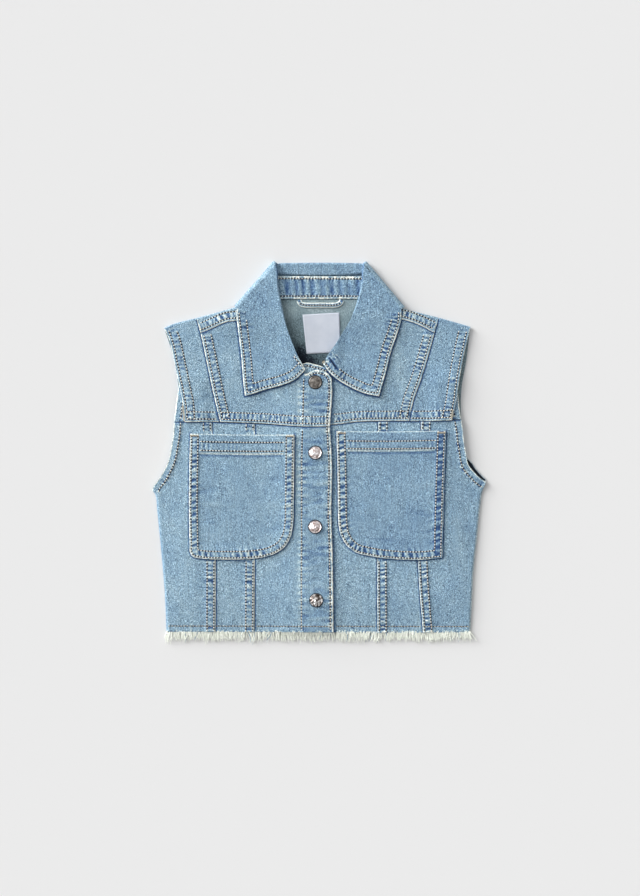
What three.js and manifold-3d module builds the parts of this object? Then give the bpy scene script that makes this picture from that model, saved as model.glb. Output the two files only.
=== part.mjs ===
// A child's cropped denim vest, snapped shut and laid face up on a table.
// Millimetres. +Z is up from the table, +Y runs from the frayed hem to the collar, and the origin is
// on the underside of the back, below the middle of the front. "left" is the side at -X.
import * as THREE from "three";
import { mergeVertices } from "three/addons/utils/BufferGeometryUtils.js";
import Module from "manifold-3d";

const wasm = await Module();
wasm.setup();

// Cloth
const CLOTH = 1.2; // one ply of denim with its nap
const FOLDED = 2.0; // the front edge, turned under and pressed
const FALL = 1.4; // the collar's fall, two thin plies
const STAND = 2.2; // the collar's stand with its turnings
const LABEL = 1.0;
const LOOP = 1.4;
const SEAM = 0.3; // between two pieces
const BAND = 9; // a double-stitched seam's raised band
const BAND_FADE = 2.5;
const BAND_RISE = 0.8;

// How the layers lie
const UNDER_COLLAR = 1.9; // how far the back is held up by the part of the collar below it
const SLACK = 0.6; // air between front and back at the edges
const FULLNESS = 2.0; // more air in the middle of the chest
const LAP_RISE = 2.35; // the left front lies on the right front's edge
const LAP_FROM = -60; // where the left front starts to rise towards its lap, and where it is up
const LAP_TO = -19;
const COLLAR_LAP_TO = -22;
const RIGHT_LAP_FROM = 28; // the same for the right leaf of the collar, from the other side
const RIGHT_LAP_TO = 14;
const BACK_PEEK = 4.2; // how far the back shows past the front at the right underarm
const SIDE_TURN = 3.0; // how far in the rounded side edge starts
const ROLL = 1.95; // outer radius of the collar's roll
const SHORT_LEG = 11; // from the roll back to the stand
const ON_COLLAR_BASE = STAND + SEAM; // the fall's underside above the collar's base

// The plan of each side, from the photograph at 1 mm to a pixel. Each row is x, y.
const LEFT = {
  name: "left",
  sign: -1,
  tipLift: 0.6,
  shoulder: [
    [-156, 123.9], [-149, 127.4], [-139.4, 130.3], [-123.8, 134], [-103, 139.6], [-88, 143.8],
    [-75, 147.4], [-62, 153],
  ],
  shoulderNormal: [-0.295, 0.955],
  sleeveEdge: [
    [-135.4, 29.8], [-136.8, 46.3], [-140, 62.9], [-142.4, 74], [-145.3, 87.7], [-148.2, 101.5],
    [-151.6, 114.1], [-156, 123.9],
  ],
  princess: [[-99.8, 30], [-105.6, 53.8], [-113, 88.2], [-119.6, 118.8], [-123.8, 134]],
  stripSeam: [[-119.6, 118.8], [-111.3, 122], [-93.5, 129.7], [-83.9, 131], [-66, 134]],
  neckline: [[-66, 134], [-63, 114], [-50, 94], [-30, 82.5], [-13.4, 78]],
  chest: [[-146, 30.2], [-101, 29.7], [-55, 28], [-18, 25.4], [10, 25.4]],
  armhole: [
    [-146, 30.2], [-147, 16.7], [-149.3, 3], [-151.6, -7.8], [-155.5, -17], [-160.8, -26.2],
    [-166.4, -33.8], [-168.2, -38.4],
  ],
  sideEdge: [
    [-168.2, -38.4], [-165, -43], [-163.1, -59.8], [-159.3, -98.1], [-155.5, -144], [-153.9, -180],
  ],
  outerSeam: [[-107.8, 30], [-104.2, -107], [-104.2, -180]],
  innerSeam: [[-65, 28.2], [-65.1, -107], [-65.5, -180.2]],
  frontEdge: [[13.7, -180.5], [12.8, -105.8], [11.4, -60], [12.2, -14], [10, 25.4]],
  underYoke: [[-146, 30.4], [-143.8, 50.1], [-141, 68], [-128, 68], [-121, 30.4]],
  roll: [
    [-24.2, 97.7], [-28.8, 108.4], [-33.4, 125.3], [-37.2, 142.9], [-41, 162], [-42.8, 179.4],
    [-45.5, 187.5],
  ],
  collarEnd: [
    [-24.2, 97.7], [-18.1, 90.1], [-13.9, 82], [-25, 72], [-36.4, 67.1], [-55.6, 61.8], [-69.3, 57.2],
    [-75, 56],
  ],
  collarEdge: [[-75, 56], [-77, 74], [-78.5, 93.1], [-81.6, 119.9], [-83.5, 139], [-82.5, 143.5]],
  crease: [[-44, 187], [-82.5, 143.5]],
  creaseNormal: [-0.755, 0.656],
};
const RIGHT = {
  name: "right",
  sign: 1,
  tipLift: 2.0,
  shoulder: [
    [150.7, 125.2], [142.1, 127.8], [120.4, 134], [98.7, 139.4], [86, 142.6], [75, 146.6], [60, 152.5],
  ],
  shoulderNormal: [0.28, 0.96],
  sleeveEdge: [[132.2, 31.6], [136.8, 52.6], [138, 62.7], [142.1, 87], [146.5, 107.4], [150.7, 125.2]],
  princess: [[89, 30.9], [93.9, 52.5], [100.6, 71], [108.3, 95.9], [114.6, 118.8], [118.8, 134.4]],
  stripSeam: [[63, 134], [82.8, 132.2], [98.7, 127.1], [114.6, 118.8]],
  neckline: [[-18, 88], [-14, 89.4], [-2, 87], [8, 84], [28, 82], [47, 93], [60, 113], [63, 134]],
  chest: [[-18, 27.5], [14.8, 27.5], [38.5, 30.2], [74.8, 30.8], [111.2, 30.8], [141.2, 32.4]],
  armhole: [
    [141.2, 32.4], [142.4, 26.1], [143.8, 13.6], [146.1, -1.7], [148.4, -12.4], [154.5, -20.4],
    [159.9, -25.8], [166.4, -30],
  ],
  sideEdge: [
    [166.4, -30], [163, -38.4], [160.7, -53.7], [157.6, -84.3], [153.8, -121], [152.3, -151.7],
    [150.7, -180.6],
  ],
  outerSeam: [[101, 30.8], [97.9, -108.8], [103, -181]],
  innerSeam: [[58.1, 30.6], [57, -108], [57.4, -181]],
  frontEdge: [[-18, -180.5], [-18, 27.5]],
  underYoke: [[141.2, 32.6], [139.6, 43.4], [137, 68], [124, 68], [117, 32.6]],
  roll: [
    [16.8, 98.5], [17.5, 103.1], [23.7, 116.1], [31.3, 133.7], [37.5, 152], [41, 166.4], [42.5, 178],
    [45, 187.5],
  ],
  collarEnd: [
    [16.8, 98.5], [9.1, 93.1], [2, 88.2], [5.3, 84], [9.4, 79], [16.8, 72.5], [28.3, 65.6],
    [43.6, 58.7], [58.9, 55.4],
  ],
  collarEdge: [[58.9, 55.4], [65.7, 79.4], [71.1, 100.8], [76.5, 116.1], [81, 131.4], [81.2, 142.6]],
  crease: [[44, 187], [81.2, 142.6]],
  creaseNormal: [0.767, 0.642],
};
// The rounded top of the left front, above the first snap.
const ARCH = [[-13.4, 78], [-8, 81], [-1.8, 82.1], [6.5, 79.6], [11.8, 73.8]];
const BACK_SEAM_Y = 52; // the yoke's seam across the back
const BACK_SEAM_X = 141; // its ends, and where the shoulder panels start
const BACK_YOKE_X = 106;
const HEM_Y = -180.3;
const BACK_NECK_Y = 153;
const BACK_FALL_EDGE = [[-78.9, 140.2], [-60, 138.9], [0, 138], [60, 138.9], [77.8, 139.6]];
const PLACKET_STITCH_X = -17.5;
const RIGHT_FACING_X = 10;

// Patch pockets: the outline from the top inner or outer corner round, clockwise from top left.
const POCKETS = {
  left: {
    top: [[-129.9, 18.5], [-78, 17.4], [-25.4, 17.5]],
    left: [[-130.3, -99], [-131, -44.5], [-129.9, 18.5]],
    right: [[-28.6, -84], [-26.6, -70], [-26, -44.5], [-25.4, 17.5]],
    bottom: [
      [-130.3, -99], [-127.4, -104.4], [-119.5, -106.5], [-93.5, -107.6], [-64.4, -106.5],
      [-47.5, -102.7], [-35.3, -95], [-28.6, -84],
    ],
  },
  right: {
    top: [[16.3, 21], [70, 20.6], [126.2, 21.6]],
    left: [[20.2, -83], [18.3, -70], [17.6, -29.2], [16.3, 21]],
    right: [[122.4, -105.8], [123.9, -44.5], [126.2, 21.6]],
    bottom: [
      [20.2, -83], [26.7, -93.5], [35.9, -100.4], [51.2, -104.2], [66.5, -106.5], [97.1, -108],
      [122.4, -105.8],
    ],
  },
};
const POCKET_GAP = 0.4;
const POCKET_HEM = 19.5; // the turned top hem
const POCKET_BAND = 8;
const ARMHOLE_BAND = 6.5;
const UNDER_YOKE_TOP = [70, 86]; // where the shoulder panel comes down off the under yoke, in y
const UNDER_YOKE_SIDE = [106, 119]; // and in x
const FOLD_NEAR = 12; // how far below a shoulder fold the bands die away
const SNAPS = [[-4.7, 69.7], [-4.7, -0.6], [-4.9, -74.6], [-3.7, -147.9]];
const SNAP_R = 6.9;
const SNAP_PROFILE = [[0, 0], [6.3, 0], [SNAP_R, 0.7], [6.3, 1.6], [3.8, 2.35], [0, 2.6]]; // radius, height
const SNAP_SIDES = 16;
const LABEL_CORNERS = [[-13.5, 98.1], [21, 99.6], [19.5, 139.6], [-17.7, 137.5]];
const LOOP_MIDDLE = [
  [-21.1, 151.8], [-19.5, 148.6], [-15.5, 147], [0, 146.8], [16, 147], [20.3, 148.8], [21.9, 151.8],
];
const LOOP_WIDTH = 5;
const LOOP_ROWS = 17;

// The frayed hem: the strip that holds the threads, and each thread.
const FRAY = {
  stripDepth: 1.2,
  stripThick: 0.7,
  length: 8.6,
  lean: 1.3,
  rootRadius: 0.32,
  tipRadius: 0.2,
  aboveTable: 0.55,
};
const FRAYED = {
  left: { threads: 66, from: -153, to: 13, y: HEM_Y, seed: 1 },
  right: { threads: 52, from: 15.5, to: 150, y: HEM_Y - 0.4, seed: 500 },
  back: { threads: 60, from: -150, to: 148, y: HEM_Y, seed: 900 },
};

// About how wide and long each piece is, which spaces its rows of points.
const SIZES = {
  backYoke: { wide: 240, long: 96 },
  shoulderPanel: { wide: 33, long: 94, longBehind: 80 },
  yokeStrip: { wide: 60 },
  underYoke: { wide: 25, long: 38 },
  frontYoke: { long: 80 },
  lowerFront: { long: 206 },
  middlePanel: { wide: 40 },
  centreLeft: { wide: 77 },
  centreRight: { wide: 75.5 },
  sidePanel: { wide: 50 },
  pocket: { wide: 105, long: 118 },
  leaf: { wide: 49, long: 104 },
  standBack: { wide: 90, long: 23 },
  standFront: { wide: 80, long: 20 },
  label: { wide: 36, long: 41 },
};

// Numbers
function smooth(from, to, value) {
  const t = Math.min(1, Math.max(0, (value - from) / (to - from)));
  return t * t * (3 - 2 * t);
}
const mix = (a, b, t) => a + (b - a) * t;
const mix2 = (a, b, t) => [mix(a[0], b[0], t), mix(a[1], b[1], t)];
// A repeatable number from 0 to 1 for each i.
function noise(i) {
  const s = Math.sin(i * 127.1 + 11.7) * 43758.5453;
  return s - Math.floor(s);
}

// A line of points, finer and smooth where asked.
function smoothed(points, pieces = 6) {
  const curve = new THREE.CatmullRomCurve3(
    points.map(([x, y]) => new THREE.Vector3(x, y, 0)),
    false,
    "centripetal",
  );
  return curve.getPoints(pieces * (points.length - 1)).map((p) => [p.x, p.y]);
}

// The point at a share of a line's length, or of its span in x (key 0) or y (key 1).
function along(line, share, key = "length") {
  const at = [0];
  for (let i = 1; i < line.length; i++) {
    const [dx, dy] = [line[i][0] - line[i - 1][0], line[i][1] - line[i - 1][1]];
    const step = key === "length" ? Math.hypot(dx, dy) : Math.abs(line[i][key] - line[i - 1][key]);
    at.push(at[i - 1] + step);
  }
  const goal = share * at[at.length - 1];
  let i = 1;
  while (i < line.length - 1 && at[i] < goal) i++;
  const t = (goal - at[i - 1]) / (at[i] - at[i - 1] || 1);
  return mix2(line[i - 1], line[i], Math.min(1, Math.max(0, t)));
}

function distanceTo(line, x, y) {
  let best = Infinity;
  for (let i = 1; i < line.length; i++) {
    const [ax, ay] = line[i - 1];
    const [dx, dy] = [line[i][0] - ax, line[i][1] - ay];
    const t = Math.min(1, Math.max(0, ((x - ax) * dx + (y - ay) * dy) / (dx * dx + dy * dy)));
    best = Math.min(best, Math.hypot(x - ax - dx * t, y - ay - dy * t));
  }
  return best;
}

// Heights of the layers above the table.
function lift(x, y) {
  return UNDER_COLLAR * smooth(105, 137, y) * smooth(118, 90, Math.abs(x));
}
function loft(x, y) {
  const fromSide = smooth(0, 42, 166 - Math.abs(x));
  const fromHem = smooth(-182, -140, y);
  return SLACK + FULLNESS * fromSide * fromHem * (1 - 0.6 * smooth(60, 125, y));
}
const backTop = (x, y) => lift(x, y) + CLOTH;
const frontBase = (x, y) => backTop(x, y) + SEAM + loft(x, y);
const leftBase = (x, y) => frontBase(x, y) + LAP_RISE * smooth(LAP_FROM, LAP_TO, x);
const placketBase = (side) => (side === LEFT ? leftBase : frontBase);
// The collar's base: the stand lies here, raised over the lapped fronts.
function collarBase(side, x, y) {
  const lap =
    side === LEFT ? smooth(LAP_FROM, COLLAR_LAP_TO, x) : smooth(RIGHT_LAP_FROM, RIGHT_LAP_TO, x);
  return frontBase(x, y) + LAP_RISE * lap;
}
const overUnderYoke = (x, y) =>
  frontBase(x, y) +
  (CLOTH + SEAM) * smooth(...UNDER_YOKE_SIDE, Math.abs(x)) * (1 - smooth(...UNDER_YOKE_TOP, y));

// A raised band beside each of a set of lines, and none where the set is empty.
function band(lines, x, y, width = BAND) {
  const near = Math.min(...lines.map((line) => distanceTo(line, x, y)));
  return BAND_RISE * (1 - smooth(width, width + BAND_FADE, near));
}
const underPocket = (x, y) =>
  smooth(-113, -109.5, y) * smooth(26, 22.5, y) * (x < 0 ? smooth(-20, -24, x) : smooth(12, 15, x));

// Shares of a length: half a seam in from each end, at each mark, and no further apart than step.
function shares(length, marks, step) {
  const inside = marks.filter((m) => m > SEAM && m < length - SEAM);
  const stops = [SEAM / 2, ...inside, length - SEAM / 2].sort((a, b) => a - b);
  const list = [stops[0]];
  for (let i = 1; i < stops.length; i++) {
    const n = Math.max(1, Math.ceil((stops[i] - stops[i - 1]) / step));
    for (let k = 1; k <= n; k++) list.push(mix(stops[i - 1], stops[i], k / n));
  }
  return list.map((s) => s / length);
}

// A closed wall between two grids of points, rows of columns.
function wall(outer, inner) {
  const rows = outer.length;
  const columns = outer[0].length;
  const positions = [...outer.flat(), ...inner.flat()].flat();
  const at = (layer, i, j) => (layer * rows + i) * columns + j;
  const index = [];
  const quad = (a, b, c, d) => index.push(a, b, c, a, c, d);
  for (let i = 0; i + 1 < rows; i++)
    for (let j = 0; j + 1 < columns; j++) {
      quad(at(0, i, j), at(0, i, j + 1), at(0, i + 1, j + 1), at(0, i + 1, j));
      quad(at(1, i, j), at(1, i + 1, j), at(1, i + 1, j + 1), at(1, i, j + 1));
    }
  for (let j = 0; j + 1 < columns; j++) {
    quad(at(1, 0, j), at(1, 0, j + 1), at(0, 0, j + 1), at(0, 0, j));
    quad(at(0, rows - 1, j), at(0, rows - 1, j + 1), at(1, rows - 1, j + 1), at(1, rows - 1, j));
  }
  for (let i = 0; i + 1 < rows; i++) {
    quad(at(0, i, 0), at(0, i + 1, 0), at(1, i + 1, 0), at(1, i, 0));
    quad(at(1, i, columns - 1), at(1, i + 1, columns - 1), at(0, i + 1, columns - 1), at(0, i, columns - 1));
  }
  const geometry = new THREE.BufferGeometry();
  geometry.setAttribute("position", new THREE.Float32BufferAttribute(positions, 3));
  geometry.setIndex(index);
  return facingOut(geometry);
}

function facingOut(geometry) {
  const [p, index] = [geometry.getAttribute("position"), geometry.getIndex().array];
  const [a, b, c] = [new THREE.Vector3(), new THREE.Vector3(), new THREE.Vector3()];
  let volume = 0;
  for (let i = 0; i < index.length; i += 3) {
    a.fromBufferAttribute(p, index[i]);
    b.fromBufferAttribute(p, index[i + 1]);
    c.fromBufferAttribute(p, index[i + 2]);
    volume += a.dot(b.cross(c));
  }
  if (volume >= 0) return geometry;
  for (let i = 0; i < index.length; i += 3) {
    [index[i + 1], index[i + 2]] = [index[i + 2], index[i + 1]];
  }
  return geometry;
}

// A patch between four lines: bottom and top run the same way, and so do left and right.
function patch({ bottom, top, left, right, keys = ["length", "length"] }) {
  const ends = (line, u) => mix2(line[0], line.at(-1), u);
  return (u, v) => {
    const across = mix2(along(bottom, u, keys[0]), along(top, u, keys[0]), v);
    const up = mix2(along(left, v, keys[1]), along(right, v, keys[1]), u);
    const corners = mix2(ends(bottom, u), ends(top, u), v);
    return [0, 1].map((k) => across[k] + up[k] - corners[k]);
  };
}

// A flat-lying panel over a patch, its underside at base(x, y) and its wall thick(x, y).
function panel(plan, across, up, base, thick) {
  const grid = up.map((v) => across.map((u) => plan(u, v)));
  const outer = grid.map((row) => row.map(([x, y]) => [x, y, base(x, y) + thick(x, y)]));
  const inner = grid.map((row) => row.map(([x, y]) => [x, y, base(x, y)]));
  return wall(outer, inner);
}

// From a geometry to a solid that can be joined to others, and back.
function solidOf(geometry) {
  const bare = geometry.clone();
  bare.deleteAttribute("normal");
  bare.deleteAttribute("uv");
  const merged = mergeVertices(bare, 1e-4);
  return new wasm.Manifold(
    new wasm.Mesh({
      numProp: 3,
      vertProperties: merged.getAttribute("position").array,
      triVerts: new Uint32Array(merged.getIndex().array),
    }),
  );
}
function geometryOf(solid) {
  const made = solid.getMesh();
  const geometry = new THREE.BufferGeometry();
  geometry.setAttribute("position", new THREE.BufferAttribute(new Float32Array(made.vertProperties), 3));
  geometry.setIndex(new THREE.BufferAttribute(new Uint32Array(made.triVerts), 1));
  return geometry;
}
const joined = (geometries) => geometryOf(geometries.map(solidOf).reduce((a, b) => a.add(b)));

// The part of a line between two values of one coordinate, ends included.
function between(line, key, from, to) {
  const [low, high] = [Math.min(from, to), Math.max(from, to)];
  const cut = (value) => {
    for (let i = 1; i < line.length; i++) {
      const [a, b] = [line[i - 1][key], line[i][key]];
      if ((a - value) * (b - value) <= 0 && a !== b) return mix2(line[i - 1], line[i], (value - a) / (b - a));
    }
    return Math.abs(line[0][key] - value) < Math.abs(line.at(-1)[key] - value) ? line[0] : line.at(-1);
  };
  const inside = line.filter((p) => p[key] > low + 0.2 && p[key] < high - 0.2);
  const ends = [cut(low), cut(high)];
  const made = [ends[0], ...inside.sort((a, b) => a[key] - b[key]), ends[1]];
  return from > to ? made.reverse() : made;
}

// The back below its yoke, flat on the table. Its sides stop inside the turned edges of the front, and
// at the right underarm it shows past the front.
const BACK_ROWS_Y = [-59, -51, -46, -42, -38, -34, -30, -27, -24, -20, -16, -12, -8, -4, 0, 20];
const fromHem = (places) => places.map((y) => y - HEM_Y);
function backBody() {
  const inset = CLOTH + 4 * SEAM;
  const edge = (side) => {
    const line = smoothed(side.armhole).concat(smoothed(side.sideEdge).slice(1)).reverse();
    const peek = side === RIGHT ? BACK_PEEK : 0;
    const moved = line.map(([x, y]) => [
      x + side.sign * (peek * smooth(-4, -12, y) * smooth(-31, -26, y) - inset * smooth(-30, -40, y)),
      y,
    ]);
    return [...moved, [side.sign * BACK_SEAM_X, BACK_SEAM_Y]];
  };
  const bottom = [[-152, HEM_Y], [149, HEM_Y]];
  const plan = patch({
    bottom,
    top: [[-BACK_SEAM_X, BACK_SEAM_Y], [BACK_SEAM_X, BACK_SEAM_Y]],
    left: edge(LEFT),
    right: edge(RIGHT),
    keys: [0, 1],
  });
  const across = shares(bottom[1][0] - bottom[0][0], [], 40);
  const up = shares(BACK_SEAM_Y - HEM_Y, fromHem(BACK_ROWS_Y), 40);
  return panel(plan, across, up, lift, () => CLOTH);
}

// The point on a side's shoulder line, moved in by the fold's radius, with that radius.
function foldCentre(side, [x, y]) {
  const [nx, ny] = side.shoulderNormal;
  const radius = (frontBase(x, y) + CLOTH - lift(x, y)) / 2;
  return { x: x - nx * radius, y: y - ny * radius, radius };
}
const FOLD_STEPS = [36, 72, 108, 144].map(THREE.MathUtils.degToRad);
// Rows of points round a shoulder fold, from the top layer to the bottom one.
function foldRows(side, points) {
  const [nx, ny] = side.shoulderNormal;
  return FOLD_STEPS.map((angle) => {
    const row = points.map((p) => ({ ...foldCentre(side, p), z: lift(...p) }));
    const ring = (r, c) => [
      c.x + nx * r * Math.sin(angle),
      c.y + ny * r * Math.sin(angle),
      c.z + c.radius + r * Math.cos(angle),
    ];
    return {
      outer: row.map((c) => ring(c.radius, c)),
      inner: row.map((c) => ring(c.radius - CLOTH, c)),
    };
  });
}

// The outer shoulder panel: up from the chest seam, over the shoulder and down to the back seam.
function shoulderPanel(side) {
  const s = side.sign;
  const shoulder = smoothed(side.shoulder);
  const tip = side.shoulder[0];
  const seamTop = side.princess.at(-1);
  const line = between(shoulder, 0, tip[0], seamTop[0]);
  const centres = line.map((p) => foldCentre(side, p)).map((c) => [c.x, c.y]);
  const [tipIn, seamIn] = [centres[0], centres.at(-1)];
  const edge = [...smoothed(side.sleeveEdge).filter(([, y]) => y < tipIn[1] - 2), tipIn];
  const ridge = [...smoothed(side.princess).filter(([, y]) => y < seamIn[1] - 2), seamIn];
  const front = patch({
    bottom: between(side.chest, 0, edge[0][0], ridge[0][0]),
    top: centres,
    left: edge,
    right: ridge,
  });
  const { wide, long, longBehind } = SIZES.shoulderPanel;
  const across = shares(wide, [BAND, BAND + BAND_FADE], 8);
  const clears = [UNDER_YOKE_TOP[0], mix(...UNDER_YOKE_TOP, 0.5), UNDER_YOKE_TOP[1]];
  const up = shares(long, [BAND, BAND + BAND_FADE, ...clears.map((y) => y - side.chest[0][1])], 14);
  const hems = [edge, side.chest];
  const rows = up.map((v) => across.map((u) => front(u, v)));
  const bandOf = (x, y) => band(hems, x, y) * smooth(tipIn[1] - 2, tipIn[1] - FOLD_NEAR, y);
  const outer = rows.map((row) => row.map(([x, y]) => [x, y, overUnderYoke(x, y) + CLOTH + bandOf(x, y)]));
  const inner = rows.map((row) => row.map(([x, y]) => [x, y, overUnderYoke(x, y)]));
  const crest = across.map((u) => along(line, u));
  for (const row of foldRows(side, crest)) {
    outer.push(row.outer);
    inner.push(row.inner);
  }
  const back = patch({
    bottom: [[s * BACK_SEAM_X, BACK_SEAM_Y], [s * BACK_YOKE_X, BACK_SEAM_Y]],
    top: centres,
    left: smoothed([[s * BACK_SEAM_X, BACK_SEAM_Y], [s * 142, 66], [s * 147, 95], tipIn]),
    right: smoothed([[s * BACK_YOKE_X, BACK_SEAM_Y], [s * 112, 86], seamIn]),
  });
  for (const v of shares(longBehind, [], 20).reverse()) {
    const row = across.map((u) => back(u, v));
    outer.push(row.map(([x, y]) => [x, y, lift(x, y)]));
    inner.push(row.map(([x, y]) => [x, y, lift(x, y) + CLOTH]));
  }
  return wall(outer, inner);
}

// The back yoke: flat over the shoulder blades, with a strip over each shoulder to the front.
function backYoke() {
  const foldLine = (side) => {
    const line = between(smoothed(side.shoulder), 0, side.princess.at(-1)[0], side.shoulder.at(-1)[0]);
    return line.map((p) => foldCentre(side, p)).map((c) => [c.x, c.y]);
  };
  const neck = [[-52, BACK_NECK_Y - 0.6], [0, BACK_NECK_Y - 0.4], [50, BACK_NECK_Y - 0.6]];
  const top = [...foldLine(LEFT), ...neck, ...foldLine(RIGHT).reverse()];
  const plan = patch({
    bottom: [[-BACK_YOKE_X, BACK_SEAM_Y], [BACK_YOKE_X, BACK_SEAM_Y]],
    top,
    left: smoothed([[-BACK_YOKE_X, BACK_SEAM_Y], [-112, 86], top[0]]),
    right: smoothed([[BACK_YOKE_X, BACK_SEAM_Y], [112, 86], top.at(-1)]),
    keys: [0, "length"],
  });
  const { wide, long } = SIZES.backYoke;
  const liftRows = [50, 60, 70, 80, 88];
  const flat = panel(plan, shares(wide, [], 16), shares(long, liftRows, 24), lift, () => CLOTH);
  return joined([flat, yokeStrip(LEFT), yokeStrip(RIGHT)]);
}

const STRIP_HOLD = 6; // how far the strip's lower leg runs into the flat of the yoke
const STRIP_SHRINK = 0.04;
function yokeStrip(side) {
  const line = between(smoothed(side.shoulder), 0, side.princess.at(-1)[0], side.shoulder.at(-1)[0]);
  const ordered = side === LEFT ? line : [...line].reverse();
  const centres = ordered.map((p) => foldCentre(side, p)).map((c) => [c.x, c.y]);
  const seam = smoothed(side.stripSeam);
  const plan = patch({
    bottom: seam,
    top: centres,
    left: [seam[0], centres[0]],
    right: [seam.at(-1), centres.at(-1)],
  });
  const across = shares(SIZES.yokeStrip.wide, [], 11);
  const up = [0.02, 0.6, 0.8, 1];
  const rows = up.map((v) => across.map((u) => plan(u, v)));
  const rise = (x, y, v) => (v < 1 ? band([seam], x, y) : 0);
  const topAt = (x, y, v) => frontBase(x, y) + CLOTH + rise(x, y, v);
  const outer = rows.map((row, i) => row.map(([x, y]) => [x, y, topAt(x, y, up[i])]));
  const inner = rows.map((row) => row.map(([x, y]) => [x, y, frontBase(x, y)]));
  for (const row of foldRows(side, across.map((u) => along(ordered, u)))) {
    outer.push(row.outer);
    inner.push(row.inner);
  }
  const [nx, ny] = side.shoulderNormal;
  for (const back of [0, STRIP_HOLD]) {
    const row = across.map((u) => along(centres, u)).map(([x, y]) => [x - nx * back, y - ny * back]);
    outer.push(row.map(([x, y]) => [x, y, lift(x, y) + STRIP_SHRINK]));
    inner.push(row.map(([x, y]) => [x, y, lift(x, y) + CLOTH - STRIP_SHRINK]));
  }
  return wall(outer, inner);
}

// The small panel that shows below the shoulder panel at the armhole.
function underYoke(side) {
  const [a, b, c, d, e] = side.underYoke;
  const plan = patch({ bottom: [a, e], top: [c, d], left: [a, b, c], right: [e, d] });
  const { wide, long } = SIZES.underYoke;
  return panel(plan, shares(wide, [], 9), shares(long, [], 10), frontBase, () => CLOTH);
}

// How much thicker a front is where its edge is turned under.
function turned(side, x) {
  const share =
    side === LEFT
      ? smooth(PLACKET_STITCH_X - 2, PLACKET_STITCH_X, x)
      : smooth(RIGHT_FACING_X, RIGHT_FACING_X - 3, x);
  return (FOLDED - CLOTH) * share;
}

// The front yoke between the princess seam, the strip over the shoulder, the neck and the front edge.
function frontYoke(side) {
  const isLeft = side === LEFT;
  const corner = side.stripSeam.at(isLeft ? 0 : -1);
  const ridge = [...smoothed(side.princess).filter(([, y]) => y < corner[1] - 1.8), corner];
  const neck = smoothed(side.neckline);
  const top = isLeft
    ? [...smoothed(side.stripSeam), ...neck.slice(1), ...smoothed(ARCH).slice(1)]
    : [...neck, ...smoothed(side.stripSeam).slice(1)];
  const edge = isLeft
    ? [side.frontEdge.at(-1), [11.4, 44], [12.4, 60], ARCH.at(-1)]
    : [side.frontEdge.at(-1), side.neckline[0]];
  const [seamX, edgeX] = [ridge[0][0], edge[0][0]];
  const plan = patch({
    bottom: between(side.chest, 0, Math.min(seamX, edgeX), Math.max(seamX, edgeX)),
    top,
    left: isLeft ? ridge : edge,
    right: isLeft ? edge : ridge,
    keys: [0, 1],
  });
  const thick = (x, y) => {
    const open = isLeft ? 1 : smooth(RIGHT_FACING_X + 3, RIGHT_FACING_X + 6, x);
    return CLOTH + turned(side, x) + band([ridge, side.chest], x, y) * open;
  };
  const [from, to] = [top[0][0], top.at(-1)[0]];
  const width = to - from;
  const necks = side.neckline.slice(0, -1).map(([x]) => x - from);
  const bands = [BAND, BAND + BAND_FADE].map((w) => (isLeft ? w : width - w));
  const folds = isLeft ? [-40, -24, LAP_TO, PLACKET_STITCH_X] : [RIGHT_FACING_X, RIGHT_FACING_X + 5];
  const across = shares(width, [...necks, ...bands, ...folds.map((x) => x - from)], 13);
  const up = shares(SIZES.frontYoke.long, [BAND, BAND + BAND_FADE], 14);
  return panel(plan, across, up, placketBase(side), thick);
}

// The lower fronts: side, middle and centre panels between the chest seam and the hem.
const FRONT_ROWS_Y = [-160, -145, -120, -109.3, -105.3, -20];
function lowerFront(side, leftLine, rightLine, ridges, across) {
  const chest = between(side.chest, 0, leftLine.at(-1)[0], rightLine.at(-1)[0]);
  const plan = patch({
    bottom: [leftLine[0], rightLine[0]],
    top: chest,
    left: leftLine,
    right: rightLine,
    keys: [0, 1],
  });
  const thick = (x, y) => CLOTH + turned(side, x) + band(ridges, x, y) * (1 - underPocket(x, y));
  const up = shares(SIZES.lowerFront.long, fromHem(FRONT_ROWS_Y), 20);
  return panel(plan, across, up, placketBase(side), thick);
}
const upward = (line) => [...smoothed(line)].reverse();

function middlePanel(side) {
  const [a, b] = [upward(side.outerSeam), upward(side.innerSeam)];
  const [l, r] = side === LEFT ? [a, b] : [b, a];
  // The raised band is on the panel whose folded edge shows, the outer one of each seam.
  const { wide } = SIZES.middlePanel;
  const marks = side === LEFT ? [wide - BAND - BAND_FADE, wide - BAND] : [BAND, BAND + BAND_FADE];
  return lowerFront(side, l, r, [side.innerSeam], shares(wide, marks, 12));
}
function centrePanel(side) {
  const seam = upward(side.innerSeam);
  const edge = smoothed(side.frontEdge);
  const facing = [RIGHT_FACING_X - 3, RIGHT_FACING_X].map((x) => x - edge[0][0]);
  if (side === RIGHT) return lowerFront(side, edge, seam, [], shares(SIZES.centreRight.wide, facing, 12));
  const lap = [LAP_FROM, -50, -40, -30, -24, -20, PLACKET_STITCH_X].map((x) => x - seam[0][0]);
  return lowerFront(side, seam, edge, [], shares(SIZES.centreLeft.wide, lap, 12));
}

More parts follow.
